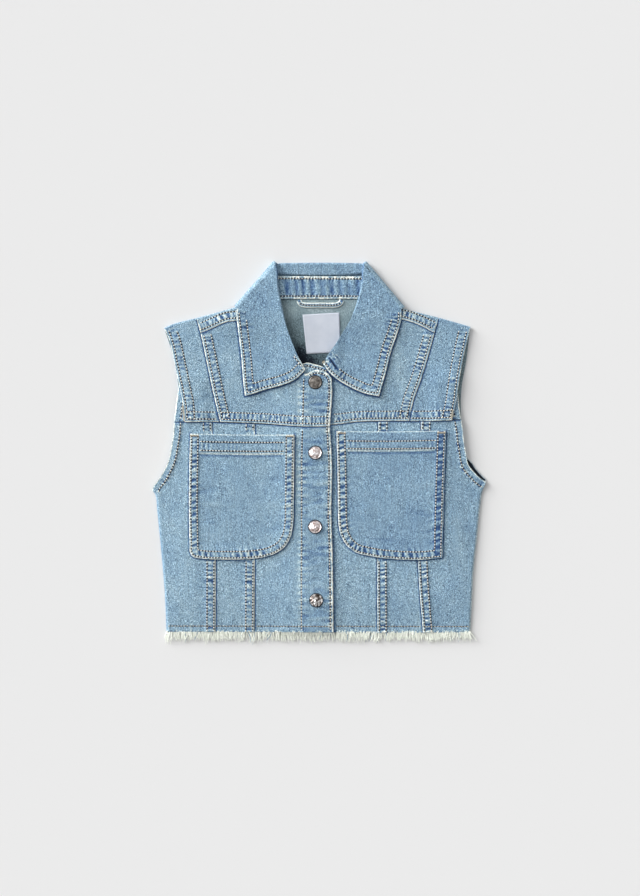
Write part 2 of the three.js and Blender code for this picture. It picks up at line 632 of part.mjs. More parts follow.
// The side panel: from the seam out to the armhole's hem, and below it round the side's soft edge.
const TURN_STEPS = [0, 25, 50, 70, 90].map(THREE.MathUtils.degToRad);
const TURN_ROWS_Y = [-46, -42, -38, -32, -24];
function sidePanel(side) {
  const s = side.sign;
  const seam = upward(side.outerSeam);
  const armhole = smoothed(side.armhole);
  const edge = [...armhole, ...smoothed(side.sideEdge).slice(1)].reverse();
  const chest = between(side.chest, 0, seam.at(-1)[0], edge.at(-1)[0]);
  const inEdge = edge.map(([x, y]) => [x - s * SIDE_TURN, y]);
  const plan = patch({
    bottom: [seam[0], inEdge[0]],
    top: [seam.at(-1), inEdge.at(-1)],
    left: seam,
    right: inEdge,
    keys: [0, 1],
  });
  const topLine = (x) => along(chest, Math.abs((x - chest[0][0]) / (chest.at(-1)[0] - chest[0][0])), 0)[1];
  const thick = (x, y) => {
    const atSeam = band([side.outerSeam], x, y) * (1 - underPocket(x, y));
    return CLOTH + Math.max(atSeam, band([armhole], x, y, ARMHOLE_BAND) * smooth(-36, -26, y));
  };
  const across = shares(SIZES.sidePanel.wide, [BAND, BAND + BAND_FADE, 38, 42], 14);
  const up = shares(SIZES.lowerFront.long, fromHem([...FRONT_ROWS_Y, ...TURN_ROWS_Y]), 18);
  const outer = [];
  const inner = [];
  for (const v of up) {
    const row = across.map((u) => plan(u, v)).map(([x, y]) => [x, Math.min(y, topLine(x) - SEAM / 2)]);
    const last = row.at(-1);
    const turn = smooth(-34, -44, last[1]);
    const top = frontBase(...last) + thick(...last);
    const outRow = row.slice(0, -1).map(([x, y]) => [x, y, frontBase(x, y) + thick(x, y)]);
    const inRow = row.slice(0, -1).map(([x, y]) => [x, y, frontBase(x, y)]);
    const wide = mix(thick(...last), CLOTH, turn);
    for (const angle of TURN_STEPS) {
      const x = last[0] + s * SIDE_TURN * Math.sin(angle);
      const z = top - (top - SEAM) * (1 - Math.cos(angle)) * turn;
      outRow.push([x, last[1], z]);
      inRow.push([x - s * wide * Math.sin(angle * turn), last[1], z - wide * Math.cos(angle * turn)]);
    }
    outer.push(outRow);
    inner.push(inRow);
  }
  return wall(outer, inner);
}

// What a panel's upper face is at a point, for what lies on it.
function frontTop(x, y) {
  return x < 14 ? leftBase(x, y) + CLOTH + turned(LEFT, x) : frontBase(x, y) + CLOTH;
}

function pocket(side) {
  const lines = POCKETS[side.name];
  const plan = patch({
    bottom: smoothed(lines.bottom),
    top: smoothed(lines.top),
    left: smoothed(lines.left),
    right: smoothed(lines.right),
  });
  const seams = [smoothed(lines.bottom), smoothed(lines.left), smoothed(lines.right)];
  const top = smoothed(lines.top);
  const thick = (x, y) => {
    const hem = BAND_RISE * (1 - smooth(POCKET_HEM, POCKET_HEM + 1, distanceTo(top, x, y)));
    return CLOTH + Math.max(band(seams, x, y, POCKET_BAND), hem);
  };
  const base = (x, y) => frontTop(x, y) + POCKET_GAP;
  const { wide, long } = SIZES.pocket;
  const edges = [POCKET_BAND, POCKET_BAND + BAND_FADE];
  const across = shares(wide, [...edges, ...edges.map((w) => wide - w)], 12);
  const up = shares(long, [...edges, long - POCKET_HEM - 1, long - POCKET_HEM], 17);
  return panel(plan, across, up, base, thick);
}

// The collar's fall: one cloth from the left point round the neck to the right point.
// Each row crosses it from the hidden short leg, round the roll, to the stitched edge.
const ROLL_STEPS = [180, 145, 110, 72, 36].map(THREE.MathUtils.degToRad);
const LEAF_ACROSS = [0, 0.1, 0.28, 0.46, 0.64, 0.82, 1];
const EASE = 8; // how fast the roll's inset fades across the leaf
const POINT_ROW = 2; // the row of a collarEnd table that is the leaf's inner point

function unit([x, y]) {
  const n = Math.hypot(x, y) || 1;
  return [x / n, y / n];
}

// One row: plan points of the long leg, its outer points, the way up from the cloth and the way into it.
function fallRow(points, outerAt, normal, into) {
  const [nx, ny, nz] = normal;
  const long = points.map((p, k) => outerAt(p, k));
  const step = (p, d, n) => [p[0] + into[0] * d + nx * n, p[1] + into[1] * d + ny * n, p[2] + nz * n];
  const centre = step(long[0], 0, -ROLL);
  const row = (radius, own) => [
    step(centre, SHORT_LEG, -radius),
    ...ROLL_STEPS.map((a) => step(centre, -radius * Math.sin(a), radius * Math.cos(a))),
    ...own,
  ];
  return {
    outer: row(ROLL, long),
    inner: row(ROLL - FALL, long.map((p) => step(p, 0, -FALL))),
  };
}

function leafPlan(side) {
  const roll = smoothed(side.roll);
  const end = side.collarEnd;
  const front = [...smoothed(end.slice(0, POINT_ROW + 1)), ...smoothed(end.slice(POINT_ROW)).slice(1)];
  const crease = side.crease;
  const plan = patch({
    bottom: front,
    top: crease,
    left: [roll[0], ...roll.slice(1, -1), crease[0]],
    right: [...smoothed(side.collarEdge).slice(0, -1), crease[1]],
  });
  return { plan, roll };
}

// Where a leaf's row starts and which way it leaves the roll.
function intoLeaf(side, roll, plan, v) {
  const [a, b] = [along(roll, Math.max(0, v - 0.04)), along(roll, Math.min(1, v + 0.04))];
  const [tx, ty] = unit([b[0] - a[0], b[1] - a[1]]);
  const normal = side === LEFT ? [-ty, tx] : [ty, -tx];
  const own = unit([plan(1, v)[0] - plan(0, v)[0], plan(1, v)[1] - plan(0, v)[1]]);
  return unit(mix2(normal, own, smooth(0.5, 1, v)));
}

function leafRows(side) {
  const { plan, roll } = leafPlan(side);
  const { wide, long } = SIZES.leaf;
  return shares(long, [], 10).concat([1]).map((v) => {
    const into = intoLeaf(side, roll, plan, v);
    const points = LEAF_ACROSS.map((u) => {
      const [x, y] = plan(u, v);
      const inset = ROLL * Math.exp((-u * wide) / EASE) * (1 - smooth(0.8, 1, v));
      return [x + into[0] * inset, y + into[1] * inset];
    });
    const outerAt = ([x, y], k) => [
      x,
      y,
      collarBase(side, x, y) + ON_COLLAR_BASE + FALL + side.tipLift * LEAF_ACROSS[k] ** 2 * (1 - v) ** 2,
    ];
    return fallRow(points, outerAt, [0, 0, 1], into);
  });
}

function creaseRows(side) {
  const [from, to] = side.crease;
  const into = unit([to[0] - from[0], to[1] - from[1]]);
  const [cx, cy] = side.creaseNormal;
  const axis = LEAF_ACROSS.map((u) => mix2(from, to, u));
  return FOLD_STEPS.map((angle) => {
    const normal = [cx * Math.sin(angle), cy * Math.sin(angle), Math.cos(angle)];
    const outerAt = ([x, y]) => {
      const radius = (collarBase(side, x, y) + ON_COLLAR_BASE + FALL) / 2;
      return [x + normal[0] * radius, y + normal[1] * radius, radius + normal[2] * radius];
    };
    return fallRow(axis, outerAt, normal, into);
  });
}

function backFallRows() {
  const edge = smoothed(BACK_FALL_EDGE);
  const plan = patch({
    bottom: [LEFT.crease[0], [-40, 187.5], [40, 187.5], RIGHT.crease[0]],
    top: [LEFT.crease[1], ...edge.slice(1, -1), RIGHT.crease[1]],
    left: LEFT.crease,
    right: RIGHT.crease,
  });
  return [0, 0.12, 0.3, 0.5, 0.7, 0.88, 1].map((u) => {
    const points = LEAF_ACROSS.map((v) => plan(u, v));
    const into = unit([points.at(-1)[0] - points[0][0], points.at(-1)[1] - points[0][1]]);
    return fallRow(points, ([x, y]) => [x, y, 0], [0, 0, -1], into);
  });
}

function collarFall() {
  const rows = [
    ...leafRows(LEFT),
    ...creaseRows(LEFT),
    ...backFallRows(),
    ...creaseRows(RIGHT).reverse(),
    ...leafRows(RIGHT).reverse(),
  ];
  return wall(rows.map((r) => r.outer), rows.map((r) => r.inner));
}

// The stand: behind the neck, and under each leaf from the neck seam to the fall's short leg.
const NECK_CLEAR = 1.3; // between the stand and the yoke's neckline
const LEG_CLEAR = 2.2; // between the stand and the fall's short leg
function standBack() {
  const plan = patch({
    bottom: [[-46, BACK_NECK_Y], [0, BACK_NECK_Y - 0.2], [46, BACK_NECK_Y]],
    top: [[-44, 176], [44, 175.6]],
    left: [[-46, BACK_NECK_Y], [-44, 176]],
    right: [[46, BACK_NECK_Y], [44, 175.6]],
  });
  const { wide, long } = SIZES.standBack;
  return panel(plan, shares(wide, [], 10), shares(long, [], 8), () => UNDER_COLLAR, () => STAND);
}

function standFront(side) {
  const { plan, roll } = leafPlan(side);
  const inner = [0.13, 0.25, 0.4, 0.55, 0.7, 0.82].map((v) => {
    const [x, y] = along(roll, v);
    const into = intoLeaf(side, roll, plan, v);
    const off = ROLL + SHORT_LEG + LEG_CLEAR;
    return [x + into[0] * off, y + into[1] * off];
  });
  const neck = side === LEFT ? [...side.neckline].reverse() : side.neckline;
  const fold = foldCentre(side, side.shoulder.at(-1));
  const outer = [...smoothed(neck.slice(side === LEFT ? 1 : 4)), [fold.x, fold.y - NECK_CLEAR]];
  const ruled = patch({
    bottom: inner,
    top: outer,
    left: [inner[0], outer[0]],
    right: [inner.at(-1), outer.at(-1)],
  });
  const base = (x, y) => collarBase(side, x, y);
  const { wide, long } = SIZES.standFront;
  const up = shares(long, [2, long - 2], 8).map((v) => v * (1 - NECK_CLEAR / long));
  return panel(ruled, shares(wide, [], 9), up, base, () => STAND);
}

// The hanger loop, a folded strip sewn into the neck seam at both ends.
function hangerLoop() {
  const middle = smoothed(LOOP_MIDDLE);
  const rows = [...Array(LOOP_ROWS).keys()].map((i) => {
    const share = i / (LOOP_ROWS - 1);
    const [a, b] = [along(middle, Math.max(0, share - 0.02)), along(middle, Math.min(1, share + 0.02))];
    const [tx, ty] = unit([b[0] - a[0], b[1] - a[1]]);
    const [x, y] = along(middle, share);
    return [1, -1].map((way) => [x - (ty * way * LOOP_WIDTH) / 2, y + (tx * way * LOOP_WIDTH) / 2]);
  });
  const clear = rows.map((row) => row.map(([x, y]) => [x, Math.min(y, BACK_NECK_Y - 0.4)]));
  const base = (x, y) => backTop(x, y) + SEAM;
  return wall(
    clear.map((row) => row.map(([x, y]) => [x, y, base(x, y) + LOOP])),
    clear.map((row) => row.map(([x, y]) => [x, y, base(x, y)])),
  );
}

function neckLabel() {
  const [a, b, c, d] = LABEL_CORNERS;
  const plan = patch({ bottom: [a, b], top: [d, c], left: [a, d], right: [b, c] });
  const base = (x, y) => backTop(x, y) + SEAM;
  const { wide, long } = SIZES.label;
  return panel(plan, shares(wide, [], 12), shares(long, [], 7), base, () => LABEL);
}

// A snap's domed cap with a rolled rim.
function snapCap() {
  const profile = SNAP_PROFILE.map(([r, z]) => new THREE.Vector2(r, z));
  return new THREE.LatheGeometry(profile, SNAP_SIDES).rotateX(Math.PI / 2);
}

// Frayed threads along a hem: a narrow strip just past the cloth's edge, with strands fused to it.
function fray({ threads, from, to, y, seed }, heightAt) {
  const [low, high] = [y - SEAM - FRAY.stripDepth, y - SEAM];
  const plan = patch({
    bottom: [[from, low], [to, low]],
    top: [[from, high], [to, high]],
    left: [[from, low], [from, high]],
    right: [[to, low], [to, high]],
  });
  const lapMarks = [-50, -40, -30, -23, LAP_TO].map((x) => x - from);
  const stripBase = (x) => heightAt(x) - FRAY.stripThick / 2;
  const strip = panel(plan, shares(to - from, lapMarks, 22), [0, 1], stripBase, () => FRAY.stripThick);
  const strands = [...Array(threads).keys()].map((i) => {
    const r = (k) => noise(seed + i * 7.3 + k);
    const x = mix(from + 1, to - 1, (i + 0.3 + 0.4 * r(0)) / threads);
    const long = FRAY.length * mix(0.72, 1.06, r(1));
    const lean = FRAY.lean * mix(-1, 1, r(2));
    const root = heightAt(x);
    const drop = Math.min(root - FRAY.aboveTable, mix(0.5, 1.4, r(3)));
    return strand([
      [x, (low + high) / 2, root, FRAY.rootRadius],
      [x + lean, y - long, root - drop, FRAY.tipRadius],
    ]);
  });
  return joined([strip, ...strands]);
}

// A three-sided thread through stops of x, y, z and radius, closed at both ends.
function strand(stops) {
  const sides = [90, 210, 330].map(THREE.MathUtils.degToRad);
  const ring = ([x, y, z, r]) => sides.flatMap((a) => [x + r * Math.cos(a), y, z + r * Math.sin(a)]);
  const positions = stops.flatMap(ring);
  const index = [0, 1, 2];
  for (let i = 0; i + 1 < stops.length; i++)
    for (let k = 0; k < 3; k++) {
      const [a, b] = [i * 3 + k, i * 3 + ((k + 1) % 3)];
      index.push(a, a + 3, b, b, a + 3, b + 3);
    }
  const last = (stops.length - 1) * 3;
  index.push(last, last + 2, last + 1);
  const geometry = new THREE.BufferGeometry();
  geometry.setAttribute("position", new THREE.Float32BufferAttribute(positions, 3));
  geometry.setIndex(index);
  return facingOut(geometry);
}

// Materials
function material(color, roughness, metalness = 0) {
  return new THREE.MeshStandardMaterial({ color, roughness, metalness });
}
const DENIM = material(0x8aa8bf, 0.92);
const DENIM_INSIDE = material(0x8d9c9f, 0.95);
const THREADS = material(0xd6dbd2, 0.95);
const WHITE = material(0xdfe1e8, 0.85);
const METAL = material(0xa8a4a2, 0.32, 1);

const vest = new THREE.Group();
function add(name, geometry, look, position = [0, 0, 0]) {
  const mesh = new THREE.Mesh(geometry, look);
  mesh.name = name;
  mesh.position.set(...position);
  vest.add(mesh);
}

add("back_body", backBody(), DENIM_INSIDE);
add("back_yoke", backYoke(), DENIM_INSIDE);
for (const side of [LEFT, RIGHT]) {
  add(`shoulder_panel_${side.name}`, shoulderPanel(side), DENIM);
  add(`under_yoke_${side.name}`, underYoke(side), DENIM);
  add(`front_yoke_${side.name}`, frontYoke(side), DENIM);
  add(`side_panel_${side.name}`, sidePanel(side), DENIM);
  add(`middle_panel_${side.name}`, middlePanel(side), DENIM);
  add(`centre_panel_${side.name}`, centrePanel(side), DENIM);
  add(`pocket_${side.name}`, pocket(side), DENIM);
  add(`collar_stand_${side.name}`, standFront(side), DENIM);
}
add("collar_stand_back", standBack(), DENIM);
add("collar_fall", collarFall(), DENIM);
add("hanger_loop", hangerLoop(), DENIM);
add("neck_label", neckLabel(), WHITE);
SNAPS.forEach(([x, y], i) => {
  const round = [-5, 0, 5].flatMap((dx) => [-5, 0, 5].map((dy) => frontTop(x + dx, y + dy)));
  add(`snap_${i + 1}`, snapCap(), METAL, [x, y, Math.max(...round) + SEAM]);
});
const hemHeight = (base) => (x) => base(x, HEM_Y) + CLOTH / 2;
add("fray_left", fray(FRAYED.left, hemHeight(leftBase)), THREADS);
add("fray_right", fray(FRAYED.right, hemHeight(frontBase)), THREADS);
add("fray_back", fray(FRAYED.back, () => CLOTH / 2 + 0.15), THREADS);

export default vest;
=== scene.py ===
"""A child's cropped denim vest, snapped shut and laid face up on a pale table.

The plan of every seam is in millimetres in the frame's own axes: x to the right, y from hem to collar.
Each cloth piece is a fine shell on its solid's form, and what is sewn on it follows the shell's own height.
"left" is the side at -x.
"""
import math

import bpy
import numpy as np
from mathutils.bvhtree import BVHTree
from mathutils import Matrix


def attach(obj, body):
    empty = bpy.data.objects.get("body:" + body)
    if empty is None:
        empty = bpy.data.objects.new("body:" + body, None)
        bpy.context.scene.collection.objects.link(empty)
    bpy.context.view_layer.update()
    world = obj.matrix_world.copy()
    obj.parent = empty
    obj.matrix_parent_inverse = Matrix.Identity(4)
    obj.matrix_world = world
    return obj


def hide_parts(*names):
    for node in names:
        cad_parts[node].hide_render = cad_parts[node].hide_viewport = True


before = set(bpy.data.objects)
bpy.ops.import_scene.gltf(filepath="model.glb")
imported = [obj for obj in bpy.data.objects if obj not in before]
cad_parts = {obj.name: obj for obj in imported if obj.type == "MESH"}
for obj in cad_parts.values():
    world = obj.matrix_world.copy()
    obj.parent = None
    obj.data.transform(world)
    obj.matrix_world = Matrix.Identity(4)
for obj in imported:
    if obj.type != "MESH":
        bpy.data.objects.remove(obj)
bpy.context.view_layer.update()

MM = 0.001
BODY = "root"

# Cloth, in millimetres
CLOTH = 1.2
FOLDED = 2.0
FALL = 1.4
STAND = 2.2
LABEL = 1.0
LOOP = 1.4
SEAM = 0.3
BAND = 9.0
BAND_FADE = 2.5
BAND_RISE = 0.8

# How the layers lie
UNDER_COLLAR = 1.9
SLACK = 0.6
FULLNESS = 2.0
LAP_RISE = 2.35
SIDE_TURN = 3.0
ROLL = 1.95
SHORT_LEG = 11.0
ON_COLLAR_BASE = STAND + SEAM
POCKET_GAP = 0.4
POCKET_HEM = 19.5
POCKET_HEM_CHANNELS = (8.8, 17.4)
POCKET_SIZE = (105, 120)
NECK_CLEAR = 1.3
LEG_CLEAR = 2.2
BACK_PEEK = 5.2

# The fine shells' points
GRID = 1.15
BACK_GRID = 2.6  # where nothing shows from above
YOKE_GRID = 1.6
HIDDEN_GRID = 2.0
EDGE_STEPS = (0.35, 0.9, 1.6)
THINNEST = 0.35

# The plan of each side. Each row is x, y.
LEFT = {
    "name": "left", "sign": -1, "tip_lift": 0.6,
    "shoulder": [(-156, 123.9), (-149, 127.4), (-139.4, 130.3), (-123.8, 134), (-103, 139.6), (-88, 143.8),
                 (-75, 147.4), (-62, 153)],
    "shoulder_normal": (-0.295, 0.955),
    "sleeve_edge": [(-135.4, 29.8), (-136.8, 46.3), (-140, 62.9), (-142.4, 74), (-145.3, 87.7),
                    (-148.2, 101.5), (-151.6, 114.1), (-156, 123.9)],
    "princess": [(-99.8, 30), (-105.6, 53.8), (-113, 88.2), (-119.6, 118.8), (-123.8, 134)],
    "strip_seam": [(-119.6, 118.8), (-111.3, 122), (-93.5, 129.7), (-83.9, 131), (-66, 134)],
    "neckline": [(-66, 134), (-63, 114), (-50, 94), (-30, 82.5), (-13.4, 78)],
    "chest": [(-146, 30.2), (-101, 29.7), (-55, 28), (-18, 25.4), (10, 25.4)],
    "armhole": [(-146, 30.2), (-147, 16.7), (-149.3, 3), (-151.6, -7.8), (-155.5, -17), (-160.8, -26.2),
                (-166.4, -33.8), (-168.2, -38.4)],
    "side_edge": [(-168.2, -38.4), (-165, -43), (-163.1, -59.8), (-159.3, -98.1), (-155.5, -144),
                  (-153.9, -180)],
    "outer_seam": [(-107.8, 30), (-104.2, -107), (-104.2, -180)],
    "inner_seam": [(-65, 28.2), (-65.1, -107), (-65.5, -180.2)],
    "front_edge": [(13.7, -180.5), (12.8, -105.8), (11.4, -60), (12.2, -14), (10, 25.4)],
    "under_yoke": [(-146, 30.4), (-143.8, 50.1), (-141, 68), (-128, 68), (-121, 30.4)],
    "roll": [(-24.2, 97.7), (-28.8, 108.4), (-33.4, 125.3), (-37.2, 142.9), (-41, 162), (-42.8, 179.4),
             (-45.5, 187.5)],
    "collar_end": [(-24.2, 97.7), (-18.1, 90.1), (-13.9, 82), (-25, 72), (-36.4, 67.1), (-55.6, 61.8),
                   (-69.3, 57.2), (-75, 56)],
    "collar_edge": [(-75, 56), (-77, 74), (-78.5, 93.1), (-81.6, 119.9), (-83.5, 139), (-82.5, 143.5)],
    "crease": [(-44, 187), (-82.5, 143.5)],
    "crease_normal": (-0.755, 0.656),
}
RIGHT = {
    "name": "right", "sign": 1, "tip_lift": 2.0,
    "shoulder": [(150.7, 125.2), (142.1, 127.8), (120.4, 134), (98.7, 139.4), (86, 142.6), (75, 146.6),
                 (60, 152.5)],
    "shoulder_normal": (0.28, 0.96),
    "sleeve_edge": [(132.2, 31.6), (136.8, 52.6), (138, 62.7), (142.1, 87), (146.5, 107.4), (150.7, 125.2)],
    "princess": [(89, 30.9), (93.9, 52.5), (100.6, 71), (108.3, 95.9), (114.6, 118.8), (118.8, 134.4)],
    "strip_seam": [(63, 134), (82.8, 132.2), (98.7, 127.1), (114.6, 118.8)],
    "neckline": [(-18, 88), (-14, 89.4), (-2, 87), (8, 84), (28, 82), (47, 93), (60, 113), (63, 134)],
    "chest": [(-18, 27.5), (14.8, 27.5), (38.5, 30.2), (74.8, 30.8), (111.2, 30.8), (141.2, 32.4)],
    "armhole": [(141.2, 32.4), (142.4, 26.1), (143.8, 13.6), (146.1, -1.7), (148.4, -12.4), (154.5, -20.4),
                (159.9, -25.8), (166.4, -30)],
    "side_edge": [(166.4, -30), (163, -38.4), (160.7, -53.7), (157.6, -84.3), (153.8, -121), (152.3, -151.7),
                  (150.7, -180.6)],
    "outer_seam": [(101, 30.8), (97.9, -108.8), (103, -181)],
    "inner_seam": [(58.1, 30.6), (57, -108), (57.4, -181)],
    "front_edge": [(-18, -180.5), (-18, 27.5)],
    "under_yoke": [(141.2, 32.6), (139.6, 43.4), (137, 68), (124, 68), (117, 32.6)],
    "roll": [(16.8, 98.5), (17.5, 103.1), (23.7, 116.1), (31.3, 133.7), (37.5, 152), (41, 166.4), (42.5, 178),
             (45, 187.5)],
    "collar_end": [(16.8, 98.5), (9.1, 93.1), (2, 88.2), (5.3, 84), (9.4, 79), (16.8, 72.5), (28.3, 65.6),
                   (43.6, 58.7), (58.9, 55.4)],
    "collar_edge": [(58.9, 55.4), (65.7, 79.4), (71.1, 100.8), (76.5, 116.1), (81, 131.4), (81.2, 142.6)],
    "crease": [(44, 187), (81.2, 142.6)],
    "crease_normal": (0.767, 0.642),
}
SIDES = (LEFT, RIGHT)
ARCH = [(-13.4, 78), (-8, 81), (-1.8, 82.1), (6.5, 79.6), (11.8, 73.8)]
YOKE_FOLD = [(10, 25.4), (11.4, 44), (12.4, 60), ARCH[-1]]  # the left front's edge above the chest seam
BACK_SEAM_Y = 52.0
HEM_Y = -180.3
BACK_NECK_Y = 153.0
BACK_SIDE_X = 141  # where the back yoke's seam ends
BACK_PANEL_X = 106  # where it meets the shoulder panel
PANEL_LENGTH = 206  # from the chest seam to the hem
BACK_FALL_EDGE = [(-78.9, 140.2), (-60, 138.9), (0, 138), (60, 138.9), (77.8, 139.6)]
PLACKET_STITCH_X = -17.5
RIGHT_FACING_X = 10.0
POCKETS = {
    "left": {
        "top": [(-129.9, 18.5), (-78, 17.4), (-25.4, 17.5)],
        "left": [(-130.3, -99), (-131, -44.5), (-129.9, 18.5)],
        "right": [(-28.6, -84), (-26.6, -70), (-26, -44.5), (-25.4, 17.5)],
        "bottom": [(-130.3, -99), (-127.4, -104.4), (-119.5, -106.5), (-93.5, -107.6), (-64.4, -106.5),
                   (-47.5, -102.7), (-35.3, -95), (-28.6, -84)],
    },
    "right": {
        "top": [(16.3, 21), (70, 20.6), (126.2, 21.6)],
        "left": [(20.2, -83), (18.3, -70), (17.6, -29.2), (16.3, 21)],
        "right": [(122.4, -105.8), (123.9, -44.5), (126.2, 21.6)],
        "bottom": [(20.2, -83), (26.7, -93.5), (35.9, -100.4), (51.2, -104.2), (66.5, -106.5), (97.1, -108),
                   (122.4, -105.8)],
    },
}
LABEL_CORNERS = [(-13.5, 98.1), (21, 99.6), (19.5, 139.6), (-17.7, 137.5)]

# Soft creases: middle x, y, length, width, the angle its length runs at, and its rise.
CREASES = [
    (-112, -38, 26, 5, 12, -0.35), (-108, -53, 30, 6, -6, 0.4), (-114, -70, 22, 5, 8, -0.35),
    (-42, -28, 22, 5, -10, -0.3), (-40, -52, 26, 6, 6, 0.35), (-44, -76, 24, 5, 14, -0.3),
    (112, -8, 26, 6, -8, -0.3), (110, -32, 28, 6, 6, 0.4), (104, -62, 30, 5, -12, -0.35),
    (108, -84, 26, 5, 4, 0.35), (64, -88, 34, 6, -5, -0.35), (40, -60, 26, 6, 20, 0.3),
    (-90, -92, 36, 6, 4, -0.3), (-135, -60, 60, 10, 84, 0.3), (140, -90, 60, 10, 96, 0.3),
    (-5, 48, 24, 4, 8, -0.5), (-4, 38, 22, 3.5, -6, 0.45), (-4, 14, 22, 4, 6, -0.35),
    (-6, -20, 22, 4, -12, -0.45), (-2, -33, 22, 4, 5, 0.4), (-6, -50, 22, 4, 14, -0.4),
    (-5, -98, 22, 4, -8, -0.4), (-4, -112, 22, 4, 10, 0.4), (-6, -128, 22, 4, -4, -0.45),
    (-3, -166, 22, 4, 8, 0.35),
    (14, 87.5, 14, 1.8, -57, -0.8), (19.5, 93, 9, 1.8, -50, -0.6), (-22, 90, 9, 1.8, 40, -0.5),
    (-126, 48, 24, 6, 20, -0.35), (124, 46, 26, 6, -24, -0.35), (-88, 74, 40, 10, 80, 0.3),
    (80, 80, 40, 10, 100, 0.3),
]

# How much paler each piece is than the cloth's mean: partly each piece's own tone, and partly painted shade,
# as most pieces on the right are drawn darker than those on the left.
TONES = {
    "side_panel_left": -0.06, "side_panel_right": -0.09, "middle_panel_left": -0.04,
    "middle_panel_right": -0.08, "centre_panel_left": -0.07, "centre_panel_right": -0.05,
    "pocket_left": -0.08, "pocket_right": -0.13,
    "front_yoke_left": -0.07, "front_yoke_right": -0.06, "under_yoke_left": -0.08, "under_yoke_right": -0.1,
    "shoulder_panel_left": -0.05, "shoulder_panel_right": -0.11, "yoke_strip_left": -0.02,
    "yoke_strip_right": -0.06, "back_yoke": -0.02, "back_body": -0.04, "hanger_loop": -0.02,
    "collar_fall": -0.13, "collar_stand_left": -0.2, "collar_stand_right": -0.2, "collar_stand_back": -0.22,
    "neck_label": 0.0,
}


def smooth(start, end, value):
    t = np.clip((np.asarray(value, float) - start) / (end - start), 0, 1)
    return t * t * (3 - 2 * t)


def bump_at(distance, width):
    return np.exp(-(distance / width) ** 2)


def noise(x, y, size, seed):
    """A smooth random field from -1 to 1 with patches of the given size."""
    gx, gy = np.asarray(x, float) / size, np.asarray(y, float) / size
    ix, iy = np.floor(gx), np.floor(gy)
    fx, fy = smooth(0, 1, gx - ix), smooth(0, 1, gy - iy)

    def value(i, j):
        wave = np.sin(i * 127.1 + j * 311.7 + seed * 74.7) * 43758.5453
        return 2 * (wave - np.floor(wave)) - 1

    low = value(ix, iy) * (1 - fx) + value(ix + 1, iy) * fx
    high = value(ix, iy + 1) * (1 - fx) + value(ix + 1, iy + 1) * fx
    return low * (1 - fy) + high * fy


def curve(points, pieces=10):
    """A smooth line through the points: a centripetal Catmull-Rom curve."""
    p = np.array(points, float)
    ends = np.vstack([2 * p[0] - p[1], p, 2 * p[-1] - p[-2]])
    out = []
    for i in range(len(p) - 1):
        a, b, c, d = ends[i:i + 4]
        t = np.cumsum([0.0] + [math.sqrt(np.linalg.norm(q - r)) for q, r in ((b, a), (c, b), (d, c))])
        u = np.linspace(t[1], t[2], pieces, endpoint=False)[:, None]
        ab = ((t[1] - u) * a + (u - t[0]) * b) / (t[1] - t[0])
        bc = ((t[2] - u) * b + (u - t[1]) * c) / (t[2] - t[1])
        cd = ((t[3] - u) * c + (u - t[2]) * d) / (t[3] - t[2])
        abc = ((t[2] - u) * ab + (u - t[0]) * bc) / (t[2] - t[0])
        bcd = ((t[3] - u) * bc + (u - t[1]) * cd) / (t[3] - t[1])
        out.append(((t[2] - u) * abc + (u - t[1]) * bcd) / (t[2] - t[1]))
    return np.vstack([*out, p[-1:]])


def run_of(line, key=None):
    """How far along each point of a line is, by length or by one coordinate."""
    step = np.diff(line, axis=0)
    size = np.hypot(step[:, 0], step[:, 1]) if key is None else np.abs(step[:, key])
    return np.concatenate([[0], np.cumsum(size)])


def at(line, share, key=None):
    """The point at a share of a line's run."""
    line = np.asarray(line, float)
    run = run_of(line, key)
    goal = np.clip(share, 0, 1) * run[-1]
    return np.stack([np.interp(goal, run, line[:, 0]), np.interp(goal, run, line[:, 1])], -1)


def nearest(line, x, y):
    """Distance to a line, and how far along it the nearest point is."""
    line = np.asarray(line, float)
    run = run_of(line)
    best = np.full(np.shape(x), 1e9)
    where = np.zeros(np.shape(x))
    for i in range(len(line) - 1):
        a, step = line[i], line[i + 1] - line[i]
        t = np.clip(((x - a[0]) * step[0] + (y - a[1]) * step[1]) / max(step @ step, 1e-9), 0, 1)
        d = np.hypot(x - a[0] - step[0] * t, y - a[1] - step[1] * t)
        closer = d < best
        best = np.where(closer, d, best)
        where = np.where(closer, run[i] + t * (run[i + 1] - run[i]), where)
    return best, where


def between(line, key, start, end):
    """The part of a line between two values of one coordinate."""
    line = np.asarray(line, float)
    order = line[np.argsort(line[:, key], kind="stable")]
    low, high = min(start, end), max(start, end)

    def cut(value):
        other = np.interp(value, order[:, key], order[:, 1 - key])
        return (value, other) if key == 0 else (other, value)

    inside = order[(order[:, key] > low + 0.2) & (order[:, key] < high - 0.2)]
    made = np.vstack([cut(low), inside, cut(high)])
    return made if start < end else made[::-1]


def y_on(line, x):
    """The y of a line at each x."""
    order = np.argsort(line[:, 0])
    return np.interp(x, line[order, 0], line[order, 1])


def laid(x, y, z):
    """Plan points and their heights as one grid of points."""
    return np.stack([x, y, z], -1)


def level(thickness):
    """A thickness or a height that is the same all over."""
    return lambda x, y: np.full(np.shape(x), thickness)


# Heights of the layers above the table
def lift(x, y):
    """The back's yoke rides up over the collar's fall."""
    return UNDER_COLLAR * smooth(105, 137, y) * smooth(118, 90, np.abs(x))


def loft(x, y):
    """The air between back and front: least at the side edges, at the hem and towards the shoulders."""
    full = smooth(0, 42, 166 - np.abs(x)) * smooth(-182, -140, y) * (1 - 0.6 * smooth(60, 125, y))
    return SLACK + FULLNESS * full


def back_top(x, y):
    return lift(x, y) + CLOTH


def front_base(x, y):
    return back_top(x, y) + SEAM + loft(x, y)


def left_base(x, y):
    return front_base(x, y) + LAP_RISE * smooth(-60, -19, x)


def placket_base(side):
    return left_base if side is LEFT else front_base


